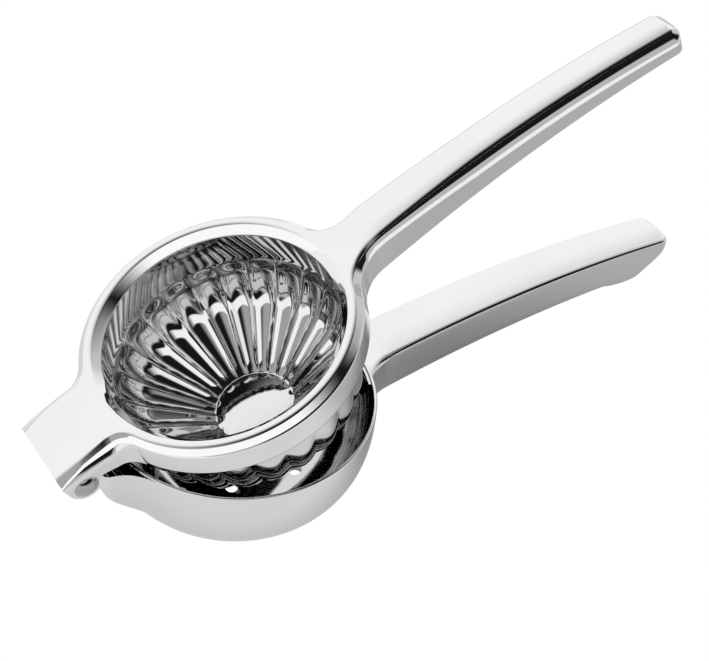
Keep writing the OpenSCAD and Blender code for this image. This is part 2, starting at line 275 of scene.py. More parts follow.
def joined(first: bpy.types.Object, *others: bpy.types.Object) -> bpy.types.Object:
    """Joins meshes into the first one.

    Args:
        first: The mesh that stays.
        others: The meshes that become part of it.

    Returns:
        The first mesh.
    """
    focus(first)
    for other in others:
        other.select_set(True)
    bpy.ops.object.join()
    return first


def walled(piece: bpy.types.Object, thickness: float) -> None:
    """Gives an open skin its wall, inwards from the outer face.

    Args:
        piece: The skin.
        thickness: Thickness of the wall.
    """
    focus(piece)
    wall = piece.modifiers.new("wall", "SOLIDIFY")
    wall.thickness = thickness
    wall.offset = -1
    bpy.ops.object.modifier_apply(modifier=wall.name)


def softened(piece: bpy.types.Object, width: float, steps: int) -> None:
    """Rounds the sharp edges of a piece.

    Args:
        piece: The mesh.
        width: Width of the rounding.
        steps: Faces across the rounding.
    """
    focus(piece)
    round_off = piece.modifiers.new("round_off", "BEVEL")
    round_off.width = width
    round_off.segments = steps
    round_off.limit_method = "ANGLE"
    round_off.angle_limit = SOFT_EDGE
    bpy.ops.object.modifier_apply(modifier=round_off.name)


def drilled(piece: bpy.types.Object, drill: bpy.types.Object) -> None:
    """Takes one mesh away from a piece and scraps it.

    Args:
        piece: The mesh that stays.
        drill: The mesh that is taken away.
    """
    focus(piece)
    cut = piece.modifiers.new("drill", "BOOLEAN")
    cut.operation = "DIFFERENCE"
    cut.solver = "EXACT"
    cut.object = drill
    bpy.ops.object.modifier_apply(modifier=cut.name)
    bpy.data.objects.remove(drill)


def smoothed(piece: bpy.types.Object, angle: float = SHARP_EDGE) -> None:
    """Shades a piece smooth, with its real edges kept crisp."""
    focus(piece)
    bpy.ops.object.shade_smooth_by_angle(angle=angle)


# ---- where the jaws are, read from the frame ----


@dataclass(frozen=True)
class Stance:
    """Where the two jaws stand in the frame, in millimetres.

    Attributes:
        hinge_x: Distance of the hinge pin from the jaws' centre, to the back.
        rim_z: Height of the bowl's rim.
        open_angle: Angle between the jaws at rest, in degrees.
        ring_rise: Height of the ring's land over the bowl's rim with the jaws level.
        jaw_r: Outer radius of the ring and of the bowl.
        reach: Distance from the jaws' centre to the handles' tips.
    """

    hinge_x: float
    rim_z: float
    open_angle: float
    ring_rise: float
    jaw_r: float
    reach: float

    def matrix(self, jaw: Jaw) -> Matrix:
        """Gives the matrix that carries a piece from its jaw's frame to the row frame.

        Args:
            jaw: The jaw.

        Returns:
            The matrix, from millimetres to metres.
        """
        to_rim = Matrix.Translation((0, 0, self.rim_z))
        if jaw is Jaw.LOWER:
            return Matrix.Scale(MM, 4) @ to_rim
        hinge = Matrix.Translation((-self.hinge_x, 0, 0))
        turn = Matrix.Rotation(math.radians(-self.open_angle), 4, "Y")
        lift = Matrix.Translation((self.hinge_x, 0, self.ring_rise))
        return Matrix.Scale(MM, 4) @ to_rim @ hinge @ turn @ lift


def read_stance() -> Stance:
    """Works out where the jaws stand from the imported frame.

    Returns:
        The jaws' places and sizes.
    """
    joint = frame["joints"][0]
    bowl_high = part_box("strainer_bowl")[1]
    handle_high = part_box("lower_handle")[1]
    pivot = Vector(joint["pos_m"])
    return Stance(
        hinge_x=-pivot.x / MM,
        rim_z=bowl_high.z / MM,
        open_angle=-min(joint["range_deg"]),
        ring_rise=10.7,
        jaw_r=bowl_high.y / MM,
        reach=handle_high.x / MM,
    )


STANCE = read_stance()


def seat(piece: bpy.types.Object, jaw: Jaw, slot: Slot, node: str) -> bpy.types.Object:
    """Carries a finished mesh to its place and puts it on its body.

    Args:
        piece: The mesh, in millimetres in its jaw's frame.
        jaw: The jaw that it rides on.
        slot: The record's material slot; not used.
        node: The frame's node that it stands for.

    Returns:
        The piece.
    """
    focus(piece)
    piece.matrix_world = STANCE.matrix(jaw)
    bpy.ops.object.transform_apply(location=True, rotation=True, scale=True)
    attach(piece, jaw.value)
    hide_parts(node)
    LOG.info("%s rides on %s, %d faces", piece.name, jaw.value, len(piece.data.polygons))
    return piece


# ---- node trees and finishes ----


class Wiring:
    """Adds nodes to a node tree and joins them up."""

    NOISE_RANGE = (0.3, 0.7)

    def __init__(self, tree: bpy.types.NodeTree) -> None:
        """Empties the tree."""
        self.tree = tree
        tree.nodes.clear()

    def add(self, kind: str) -> bpy.types.Node:
        """Adds a node."""
        return self.tree.nodes.new(kind)

    def join(self, source: bpy.types.NodeSocket, target: bpy.types.NodeSocket) -> None:
        """Joins an output to an input."""
        self.tree.links.new(source, target)

    def maths(
        self, operation: str, first: bpy.types.NodeSocket, second: bpy.types.NodeSocket | float
    ) -> bpy.types.NodeSocket:
        """Works out one number from two.

        Args:
            operation: Name of the operation.
            first: The first number.
            second: The second number, worked out or fixed.

        Returns:
            The result.
        """
        node = self.add("ShaderNodeMath")
        node.operation = operation
        self.join(first, node.inputs[0])
        if isinstance(second, float):
            node.inputs[1].default_value = second
        else:
            self.join(second, node.inputs[1])
        return node.outputs["Value"]

    def along(self, source: bpy.types.NodeSocket, direction: Place) -> bpy.types.NodeSocket:
        """Measures a place or a direction along another direction.

        Args:
            source: The place or the direction.
            direction: The direction that it is measured along.

        Returns:
            The length.
        """
        node = self.add("ShaderNodeVectorMath")
        node.operation = "DOT_PRODUCT"
        self.join(source, node.inputs[0])
        node.inputs[1].default_value = direction
        return node.outputs["Value"]

    def distance(
        self, source: bpy.types.NodeSocket, centre: Point, reach: Point
    ) -> bpy.types.NodeSocket:
        """Measures how far a place is from a centre, in shares of a reach along X and Y.

        Args:
            source: The place.
            centre: The centre, in metres.
            reach: The reach along X and along Y, in metres.

        Returns:
            The distance.
        """
        moved = self.add("ShaderNodeVectorMath")
        moved.operation = "SUBTRACT"
        moved.inputs[1].default_value = (*centre, 0)
        self.join(source, moved.inputs[0])
        scaled = self.add("ShaderNodeVectorMath")
        scaled.operation = "DIVIDE"
        scaled.inputs[1].default_value = (*reach, 1)
        self.join(moved.outputs["Vector"], scaled.inputs[0])
        length = self.add("ShaderNodeVectorMath")
        length.operation = "LENGTH"
        self.join(scaled.outputs["Vector"], length.inputs[0])
        return length.outputs["Value"]

    def eased(
        self, source: bpy.types.NodeSocket, edge: Point, low: float, high: float
    ) -> bpy.types.NodeSocket:
        """Eases from one value to another across a soft edge.

        Args:
            source: The number that crosses the edge.
            edge: The edge's middle and half its width.
            low: Value before the edge.
            high: Value beyond it.

        Returns:
            The eased value.
        """
        node = self.add("ShaderNodeMapRange")
        node.interpolation_type = "SMOOTHSTEP"
        node.inputs["From Min"].default_value = edge[0] - edge[1]
        node.inputs["From Max"].default_value = edge[0] + edge[1]
        node.inputs["To Min"].default_value = low
        node.inputs["To Max"].default_value = high
        self.join(source, node.inputs["Value"])
        return node.outputs["Result"]

    def noise(
        self, scale: float, detail: float, stretch: Place = (1, 1, 1)
    ) -> bpy.types.NodeSocket:
        """Lays a noise pattern over a piece's own coordinates.

        Args:
            scale: Waves in a metre.
            detail: Number of finer layers.
            stretch: Further scale along X, Y and Z.

        Returns:
            The pattern.
        """
        fitted = self.add("ShaderNodeMapping")
        fitted.inputs["Scale"].default_value = stretch
        self.join(self.add("ShaderNodeTexCoord").outputs["Object"], fitted.inputs["Vector"])
        pattern = self.add("ShaderNodeTexNoise")
        pattern.inputs["Scale"].default_value = scale
        pattern.inputs["Detail"].default_value = detail
        self.join(fitted.outputs["Vector"], pattern.inputs["Vector"])
        return pattern.outputs["Fac"]

    def ranged(
        self, source: bpy.types.NodeSocket, low: float, high: float
    ) -> bpy.types.NodeSocket:
        """Maps a noise pattern's middle range to two values.

        Args:
            source: The pattern.
            low: Value for the low end of its range.
            high: Value for the high end.

        Returns:
            The value.
        """
        node = self.add("ShaderNodeMapRange")
        node.inputs["From Min"].default_value = self.NOISE_RANGE[0]
        node.inputs["From Max"].default_value = self.NOISE_RANGE[1]
        node.inputs["To Min"].default_value = low
        node.inputs["To Max"].default_value = high
        self.join(source, node.inputs["Value"])
        return node.outputs["Result"]

    def bumped(self, source: bpy.types.NodeSocket, depth: float) -> bpy.types.Node:
        """Turns a pattern into relief of a depth in metres.

        Args:
            source: The pattern.
            depth: Depth of the relief, in metres.

        Returns:
            The node that bends the surface.
        """
        node = self.add("ShaderNodeBump")
        node.inputs["Strength"].default_value = 1.0
        node.inputs["Distance"].default_value = depth
        self.join(source, node.inputs["Height"])
        return node

    def seen(self, *kinds: str) -> bpy.types.NodeSocket:
        """Tells whether a ray is of one of the named kinds.

        Args:
            kinds: The light path's names for the kinds.

        Returns:
            1 if it is, and 0 if not.
        """
        path = self.add("ShaderNodeLightPath")
        found = path.outputs[kinds[0]]
        for kind in kinds[1:]:
            found = self.maths("MAXIMUM", found, path.outputs[kind])
        return found

    def swapped(
        self, share: bpy.types.NodeSocket, first: bpy.types.Node, second: bpy.types.Node
    ) -> bpy.types.Node:
        """Mixes two shaders.

        Args:
            share: Share of the second shader.
            first: The first shader.
            second: The second shader.

        Returns:
            The mix.
        """
        node = self.add("ShaderNodeMixShader")
        self.join(share, node.inputs["Fac"])
        self.join(first.outputs[0], node.inputs[1])
        self.join(second.outputs[0], node.inputs[2])
        return node


@dataclass(frozen=True)
class Finish:
    """A polished or brushed steel surface.

    Attributes:
        name: Name of the finish.
        tone: Reflectance of the bare metal.
        roughness: Mean roughness.
        smudge: How much the roughness varies in soft patches.
        haze: Depth of the long, low waves left by hand polishing, in metres.
        grain: Depth of the fine polishing lines, in metres.
        grain_axis: Stretch of the polishing lines along X, Y and Z.
        tarnish: How much darker the metal is in its soft patches.
        slot: The record's material slot that it belongs to.
    """

    name: str
    tone: Place
    roughness: float
    smudge: float
    haze: float
    grain: float
    grain_axis: Place
    tarnish: float
    slot: Slot = Slot.POLISHED

    SMUDGE_SCALE = 55.0
    TARNISH_SCALE = 24.0
    HAZE_SCALE = 60.0
    GRAIN_SCALE = 900.0

    def colour(self, wiring: Wiring) -> bpy.types.NodeSocket:
        """Gives the metal's colour, a little darker in soft patches.

        Args:
            wiring: The node tree.

        Returns:
            The colour.
        """
        colour = wiring.add("ShaderNodeMix")
        colour.data_type = "RGBA"
        colour.inputs["A"].default_value = (*(c * (1 - self.tarnish) for c in self.tone), 1)
        colour.inputs["B"].default_value = (*self.tone, 1)
        share = wiring.ranged(wiring.noise(self.TARNISH_SCALE, detail=2.0), 0.0, 1.0)
        wiring.join(share, colour.inputs["Factor"])
        return colour.outputs["Result"]

    def relief(self, wiring: Wiring) -> bpy.types.NodeSocket:
        """Gives the polishing lines, laid over the long, low waves.

        Args:
            wiring: The node tree.

        Returns:
            The bent normal.
        """
        waves = wiring.bumped(wiring.noise(self.HAZE_SCALE, detail=0.0), self.haze)
        fine = wiring.noise(self.GRAIN_SCALE, detail=2.0, stretch=self.grain_axis)
        lines = wiring.bumped(fine, self.grain)
        wiring.join(waves.outputs["Normal"], lines.inputs["Normal"])
        return lines.outputs["Normal"]

    def material(self) -> bpy.types.Material:
        """Builds the finish as a node material, once.

        Returns:
            The material.
        """
        found = bpy.data.materials.get(self.name)
        if found:
            return found
        material = bpy.data.materials.new(self.name)
        material.use_nodes = True
        wiring = Wiring(material.node_tree)
        steel = wiring.add("ShaderNodeBsdfPrincipled")
        steel.inputs["Metallic"].default_value = 1.0
        patches = wiring.noise(self.SMUDGE_SCALE, detail=3.0)
        rough = wiring.ranged(patches, self.roughness - self.smudge, self.roughness + self.smudge)
        wiring.join(rough, steel.inputs["Roughness"])
        wiring.join(self.colour(wiring), steel.inputs["Base Color"])
        wiring.join(self.relief(wiring), steel.inputs["Normal"])
        out = wiring.add("ShaderNodeOutputMaterial")
        wiring.join(steel.outputs["BSDF"], out.inputs["Surface"])
        return material

    def dress(self, piece: bpy.types.Object) -> None:
        """Puts the finish on a piece, in place of what it wore."""
        piece.data.materials.clear()
        piece.data.materials.append(self.material())


MIRROR = Finish(
    name="mirror_steel",
    tone=(0.74, 0.74, 0.745),
    roughness=0.035,
    smudge=0.015,
    haze=0.000012,
    grain=0.0000006,
    grain_axis=(0.15, 1, 1),
    tarnish=0.03,
)
CUP_STEEL = Finish(
    name="pressed_mirror_steel",
    tone=(0.68, 0.68, 0.685),
    roughness=0.04,
    smudge=0.02,
    haze=0.00002,
    grain=0.0000006,
    grain_axis=(1, 1, 0.2),
    tarnish=0.04,
)
# Painted shade: a darker copy of the bowl's steel, laid on the bowl's inner faces to stand in for
# the shade inside it.
PAINTED_SHADE_BOWL_STEEL = replace(
    CUP_STEEL, name="painted_shade_bowl_steel", tone=(0.56, 0.56, 0.565), roughness=0.05
)
PLATE_STEEL = Finish(
    name="fine_ground_plate_steel",
    tone=(0.74, 0.74, 0.745),
    roughness=0.07,
    smudge=0.03,
    haze=0.000012,
    grain=0.000002,
    grain_axis=(0.06, 1, 1),
    tarnish=0.04,
    slot=Slot.PLATE,
)
PIN_STEEL = Finish(
    name="turned_pin_steel",
    tone=(0.40, 0.40, 0.41),
    roughness=0.09,
    smudge=0.03,
    haze=0.00001,
    grain=0.000002,
    grain_axis=(1, 0.1, 1),
    tarnish=0.06,
    slot=Slot.PIN,
)
WASHER_STEEL = Finish(
    name="brushed_washer_steel",
    tone=(0.62, 0.62, 0.63),
    roughness=0.26,
    smudge=0.06,
    haze=0.00001,
    grain=0.000004,
    grain_axis=(1, 0.1, 1),
    tarnish=0.1,
    slot=Slot.WASHER,
)


# ---- edge sections and plans that the castings share ----


@dataclass(frozen=True)
class Stretch:
    """One stretch of a bent section.

    Attributes:
        length: Length along the surface.
        tilt: Tilt of the surface at the stretch's end, in degrees from level.
    """

    length: float
    tilt: float

    def mixed(self, other: "Stretch", share: float) -> "Stretch":
        """Gives the stretch at a share of the way to another one."""
        return Stretch(mix(self.length, other.length, share), mix(self.tilt, other.tilt, share))


@dataclass(frozen=True)
class Shoulder:
    """Section from the edge of a top face, over a shoulder, to a wall.

    Attributes:
        start: Tilt of the face where the shoulder starts, in degrees.
        brow: The gently curved border of the top face.
        turn: The tight bend into the facet.
        facet: The upper bevel.
        step: The tight bend into the band.
        band: The lower bevel.
        roll: The tight bend into the apron.
        apron: The last steep stretch.
        foot: The bend into the wall.
    """

    start: float
    brow: Stretch
    turn: Stretch
    facet: Stretch
    step: Stretch
    band: Stretch
    roll: Stretch
    apron: Stretch
    foot: Stretch

    STEPS = {"brow": 4, "turn": 4, "facet": 3, "step": 3, "band": 3, "roll": 3, "apron": 3,
             "foot": 4}

    def mixed(self, other: "Shoulder", share: float) -> "Shoulder":
        """Gives the shoulder at a share of the way to another one.

        Args:
            other: The other shoulder.
            share: The share, from 0 to 1.

        Returns:
            The shoulder between the two.
        """
        start = mix(self.start, other.start, share)
        return Shoulder(start, *(getattr(self, n).mixed(getattr(other, n), share)
                                 for n in self.STEPS))

    def points(self) -> list[Point]:
        """Gives the section's points.

        Returns:
            The distance from the wall and the drop of each point, from the top face down.
        """
        x, z, tilt = 0.0, 0.0, math.radians(self.start)
        found = [(0.0, 0.0)]
        for name, steps in self.STEPS.items():
            stretch = getattr(self, name)
            end = math.radians(stretch.tilt)
            part = stretch.length / steps
            for i in range(steps):
                middle = mix(tilt, end, (i + 0.5) / steps)
                x += part * math.cos(middle)
                z += part * math.sin(middle)
                found.append((x, z))
            tilt = end
        return [(x - run, drop) for run, drop in found]


RING_SHOULDER = Shoulder(
    start=0.0,
    brow=Stretch(0.9, 20.0),
    turn=Stretch(0.45, 43.0),
    facet=Stretch(0.4, 43.0),
    step=Stretch(0.05, 43.0),
    band=Stretch(1.45, 43.0),
    roll=Stretch(0.08, 53.0),
    apron=Stretch(0.42, 55.0),
    foot=Stretch(0.55, 90.0),
)


def rounded_edge(brow: Stretch, turn: Stretch, foot: Stretch) -> Shoulder:
    """Gives the section of a sheet's rounded edge.

    Args:
        brow: The border of the top face.
        turn: The bend over the edge.
        foot: The bend into the wall.

    Returns:
        The section, whose bevels are no more than a hair wide.
    """
    hair = 0.03
    return Shoulder(
        start=0.0,
        brow=brow,
        turn=turn,
        facet=Stretch(hair, 45.0),
        step=Stretch(hair, 45.0),
        band=Stretch(hair, 45.0),
        roll=Stretch(hair, 50.0),
        apron=Stretch(hair, 60.0),
        foot=foot,
    )


@dataclass(frozen=True)
class Spot:
    """A point of a plan outline.

    Attributes:
        x: Place along the jaw.
        y: Place across the jaw.
        inward: Direction to the inside of the plan, as an angle in degrees.
        share: How far the spot is from the jaw's circle, from 0 to 1 over the blend.
    """

    x: float
    y: float
    inward: float
    share: float

    def moved_in(self, distance: float) -> Point:
        """Gives the point at a distance inside the outline."""
        a = math.radians(self.inward)
        return self.x + distance * math.cos(a), self.y + distance * math.sin(a)

    def mirrored(self) -> "Spot":
        """Gives the same spot on the other side of the jaw."""
        return replace(self, y=-self.y, inward=-self.inward)


@dataclass(frozen=True)
class HandlePlan:
    """Plan outline of a handle: it leaves the jaw's circle in a blend and ends in a bowed tip.

    Attributes:
        jaw_r: Radius of the jaw's circle.
        root_w: Half width next to the jaw.
        tip_w: Half width at the tip.
        reach: Distance from the jaw's centre to the tip.
        blend_r: Radius of the blend.
        corner_r: Radius of the tip's corners.
        end_r: Radius of the tip's bowed end.
        across: Faces across the handle.
    """

    jaw_r: float
    root_w: float = 8.2
    tip_w: float = 7.0
    reach: float = 159.5
    blend_r: float = 11.0
    corner_r: float = 3.7
    end_r: float = 30.0
    across: int = 16

    BLEND_STEPS = 16
    SIDE_STEPS = 60
    CORNER_STEPS = 10
    SEAM = 0.8

    @property
    def blend_x(self) -> float:
        """Place where the blend meets the straight side."""
        far = self.jaw_r + self.blend_r
        return math.sqrt(far * far - (self.root_w + self.blend_r) ** 2)

    @property
    def touch_angle(self) -> float:
        """Angle on the jaw's circle at which the blend touches it, in degrees."""
        return math.degrees(math.atan2(self.root_w + self.blend_r, self.blend_x))

    @property
    def corner(self) -> Point:
        """Centre of the tip's corner.

        Returns:
            The centre on the far side.
        """
        off = self.tip_w - self.corner_r
        back = self.reach - self.end_r
        return back + math.sqrt((self.end_r - self.corner_r) ** 2 - off * off), off

    def half_width(self, x: float) -> float:
        """Gives the half width of the straight side."""
        start, end = self.blend_x, self.corner[0]
        return mix(self.root_w, self.tip_w, clamp((x - start) / (end - start)))

    def side(self) -> list[Spot]:
        """Gives the far side of the outline, from the jaw's circle to the end of the corner.

        Returns:
            The spots, from the jaw on.
        """
        centre = (self.blend_x, self.root_w + self.blend_r)
        first = 180 + self.touch_angle
        turns = [first, first + self.SEAM, *spread(first + self.SEAM, 270, self.BLEND_STEPS)[1:]]
        spots = []
        for turn in turns:
            a = math.radians(turn)
            share = (turn - first) / (270 - first)
            spots.append(Spot(centre[0] + self.blend_r * math.cos(a),
                              centre[1] + self.blend_r * math.sin(a), turn, share))
        for x in spread(self.blend_x, self.corner[0], self.SIDE_STEPS)[1:]:
            spots.append(Spot(x, self.half_width(x), 270, 1.0))
        last = math.degrees(math.atan2(self.corner[1], self.corner[0] - self.reach + self.end_r))
        for turn in spread(90, last, self.CORNER_STEPS)[1:]:
            a = math.radians(turn)
            spots.append(Spot(self.corner[0] + self.corner_r * math.cos(a),
                              self.corner[1] + self.corner_r * math.sin(a), turn - 180, 1.0))
        return spots

    def end(self) -> list[Spot]:
        """Gives the bowed end between the corners, without the corners' own points.

        Returns:
            The spots, from the far corner on.
        """
        back = self.reach - self.end_r
        last = math.degrees(math.atan2(self.corner[1], self.corner[0] - back))
        return [
            Spot(back + self.end_r * math.cos(math.radians(t)),
                 self.end_r * math.sin(math.radians(t)), t - 180, 1.0)
            for t in spread(last, -last, self.across)[1:-1]
        ]

    def outline(self) -> list[Spot]:
        """Gives the whole outline, from the far touch point round the tip to the near one."""
        side = self.side()
        return side + self.end() + [s.mirrored() for s in reversed(side)]


@dataclass(frozen=True)
class Cap:
    """Top face of a handle and the wall under its edge.

    Attributes:
        top: Height of the top face's edge at a place along the jaw.
        foot: Height of the wall's foot at a place along the jaw.
        crown: Rise of the face from its edge to its middle.
        root: Shoulder where the handle leaves the jaw.
        side: Shoulder along the handle.
        end: Shoulder across the tip.
        seam_r: Radius on the jaw at which the face starts.
        seam_z: Height of the face there.
        foot_r: Radius of the wall's rounded foot, which also closes the underside.
        margin: How far the whole cap is drawn in from the outline.
        draft: Lean of the wall along the handle, in degrees.
        collar: Shoulder at the end of the blend, if it differs from the side's.
    """

    top: Callable[[float], float]
    foot: Callable[[float], float]
    crown: float
    root: Shoulder
    side: Shoulder
    end: Shoulder
    seam_r: float
    seam_z: float
    foot_r: float = 0.0
    margin: float = 0.0
    draft: float = 0.0
    collar: Shoulder | None = None

    COLLAR_RUN = 36.0
    WALL_STEPS = 5
    FOOT_STEPS = 5


@dataclass
class HandleSkin:
    """Outer skin of a handle: its top face, and its shoulder and wall all round.

    Attributes:
        plan: The outline.
        cap: The top face and the wall.
    """

    plan: HandlePlan
    cap: Cap

    SINK_RUN = 4.0
    LARGEST_CURL = 0.45

    def __post_init__(self) -> None:
        """Works out the outline's spots and the column of points at each of them."""
        self.side = self.plan.side()
        self.outline = self.plan.outline()
        self.corner_from = len(self.side) - 1 - self.plan.CORNER_STEPS
        self.columns = [self.column(i) for i in range(len(self.outline))]

    def tip_share(self, column: int) -> float:
        """Gives how far a column of the outline has turned round the tip's corner."""
        step = min(column, len(self.outline) - 1 - column)
        return ease((step - self.corner_from) / self.plan.CORNER_STEPS)

    def shoulder(self, column: int) -> Shoulder:
        """Gives the shoulder at a column of the outline.

        Args:
            column: Number of the column.

        Returns:
            The shoulder.
        """
        spot = self.outline[column]
        side = self.cap.side
        if self.cap.collar:
            run = clamp((spot.x - self.plan.blend_x) / self.cap.COLLAR_RUN)
            side = self.cap.collar.mixed(side, run)
        base = self.cap.root.mixed(side, ease(spot.share))
        return base.mixed(self.cap.end, self.tip_share(column))

    def edge_height(self, x: float, share: float) -> float:
        """Gives the height of the top face's edge, level with the jaw at the seam."""
        return mix(self.cap.seam_z, self.cap.top(x), share)

    def root_share(self, x: float, y: float) -> float:
        """Gives how far a point of the top face is from the seam, from 0 to 1."""
        seam = math.sqrt(max(0.0, self.cap.seam_r ** 2 - y * y))
        return ease((x - seam) / (self.plan.blend_x + self.SINK_RUN - seam))

    def column(self, index: int) -> list[Place]:
        """Gives the points of one column, from the top face's edge down to the wall's foot.

        Args:
            index: Number of the column.

        Returns:
            The points.
        """
        spot = self.outline[index]
        cap = self.cap
        section = self.shoulder(index).points()
        foot = cap.foot(spot.x)
        lean = math.tan(math.radians(cap.draft)) * ease(spot.share)
        x0, y0 = spot.moved_in(section[0][0] + cap.margin)
        height = self.edge_height(x0, self.root_share(x0, y0))
        wall_top = height - section[-1][1]
        curl = min(cap.foot_r, self.LARGEST_CURL * (wall_top - foot))
        set_back = cap.margin + lean * (wall_top - foot)
        found = [(*spot.moved_in(inset + set_back), height - drop) for inset, drop in section]
        for z in spread(wall_top, foot + curl, cap.WALL_STEPS)[1:]:
            found.append((*spot.moved_in(cap.margin + lean * (z - foot)), z))
        if cap.foot_r:
            for turn in spread(0, 90, cap.FOOT_STEPS)[1:]:
                a = math.radians(turn)
                inset = cap.margin + curl * (1 - math.cos(a))
                found.append((*spot.moved_in(inset), foot + curl * (1 - math.sin(a))))
        return found

    def bent_line(self, station: int, across: int, level: int) -> Point:
        """Gives a point of a cross line, bent like the jaw at one end and the tip at the other.

        Args:
            station: Number of the cross line, from the jaw.
            across: Number of the point on it, from the far side.
            level: Number of the columns' point that the line joins.

        Returns:
            The point in plan.
        """
        t = 2 * across / self.plan.across - 1
        first = self.columns[station][level]
        root = self.columns[0][level]
        last = len(self.side) - 1
        radius = math.hypot(root[0], root[1])
        bend = math.sqrt(radius ** 2 - (root[1] * t) ** 2) - root[0]
        hold = 1 - ease(self.side[station].share)
        near_tip = clamp((station - self.corner_from) / self.plan.CORNER_STEPS)
        middle = self.columns[last + self.plan.across // 2][level]
        tip_bend = middle[0] - self.columns[last][level][0]
        return first[0] + bend * hold + tip_bend * (1 - t * t) * near_tip, -first[1] * t

    def face_place(self, station: int, across: int) -> Place:
        """Gives a point of the top face.

        Args:
            station: Number of the cross line, from the jaw.
            across: Number of the point on it, from the far side.

        Returns:
            The point.
        """
        last = len(self.side) - 1
        if station == last:
            return self.columns[last + across][0]
        t = 2 * across / self.plan.across - 1
        x, y = self.bent_line(station, across, 0)
        x0, y0, z0 = self.columns[station][0]
        share = self.root_share(x, y)
        lift = z0 - self.edge_height(x0, self.root_share(x0, y0))
        rise = self.cap.crown * share * (1 - t * t)
        return x, y, self.edge_height(x, share) + lift + rise

    def floor_place(self, station: int, across: int) -> Place:
        """Gives a point of the underside, numbered as on the top face.

        Args:
            station: Number of the cross line, from the jaw.
            across: Number of the point on it, from the far side.

        Returns:
            The point.
        """
        last = len(self.side) - 1
        if station == last:
            return self.columns[last + across][-1]
        x, y = self.bent_line(station, across, -1)
        x0, _, z0 = self.columns[station][-1]
        return x, y, z0 + self.cap.foot(x) - self.cap.foot(x0)

    def build(self, name: str) -> bpy.types.Object:
        """Builds the skin.

        Args:
            name: Name of the piece.

        Returns:
            The mesh, open at the jaw, and under the wall if the wall has no rounded foot.
        """
        rows = len(self.columns[0]) - 1
        stations, across = len(self.side) - 1, self.plan.across
        parts = [
            draped(name, len(self.outline) - 1, rows, lambda i, j: self.columns[i][j]),
            draped(name + "_face", stations, across, self.face_place),
        ]
        if self.cap.foot_r:
            parts.append(draped(name + "_floor", stations, across, self.floor_place))
        skin = joined(*parts)
        close_up(skin)
        return skin


def sealed(skin: bpy.types.Object) -> None:
    """Closes a skin's open end and turns all faces outwards.

    Args:
        skin: The mesh.
    """
    with editing(skin):
        bpy.ops.mesh.select_mode(type="EDGE")
        bpy.ops.mesh.select_all(action="DESELECT")
        bpy.ops.mesh.select_non_manifold()
        bpy.ops.mesh.edge_face_add()
        bpy.ops.mesh.select_mode(type="VERT")
        bpy.ops.mesh.select_all(action="SELECT")
        bpy.ops.mesh.normals_make_consistent(inside=False)


def turned_over(skin: bpy.types.Object) -> None:
    """Mirrors a closed skin top to bottom.

    Args:
        skin: The mesh.
    """
    with editing(skin):
        bpy.ops.mesh.select_all(action="SELECT")
        bpy.ops.transform.resize(value=(1, 1, -1), center_override=(0, 0, 0))
        bpy.ops.mesh.normals_make_consistent(inside=False)


def facing_up(skin: bpy.types.Object) -> None:
    """Turns a skin's faces so that its highest ones look up.

    Args:
        skin: The mesh.
    """
    highest = max(skin.data.polygons, key=lambda f: f.center.z)
    if highest.normal.z < 0:
        with editing(skin):
            bpy.ops.mesh.select_all(action="SELECT")
            bpy.ops.mesh.flip_normals()


# ---- what the two jaws share ----


@dataclass
class JawWork:
    """A jaw with a round end and a bowed handle, as far as both jaws are alike.

    Attributes:
        jaw_r: Outer radius of the round end.
        bow_h: Height of the handle's bow at its middle.
        play: Gap between the round end and the sheets of the handle.
        pieces: The pieces that are finished.
    """

    jaw_r: float = STANCE.jaw_r
    bow_h: float = 4.0
    play: float = 0.02
    pieces: list[bpy.types.Object] = field(default_factory=list)

    JAW: ClassVar[Jaw]

    def along(self, x: float) -> float:
        """Gives the share of the way from the jaw to the handle's tip."""
        return max(0.0, (x - self.jaw_r) / (STANCE.reach - self.jaw_r))

    def bow(self, x: float) -> float:
        """Gives the handle's upward bow at a place along it."""
        share = self.along(x)
        return 4 * self.bow_h * share * (1 - min(1.0, share))

    def fit(
        self, piece: bpy.types.Object, finish: Finish, node: str, sharp: float = SHARP_EDGE
    ) -> None:
        """Shades and dresses a piece, seats it on the jaw and keeps it.

        Args:
            piece: The mesh, in millimetres in the jaw's frame.
            finish: What it wears.
            node: The frame's node that it stands for.
            sharp: Angle from which an edge stays crisp.
        """
        smoothed(piece, sharp)
        finish.dress(piece)
        self.pieces.append(seat(piece, self.JAW, finish.slot, node))


# ---- upper jaw ----


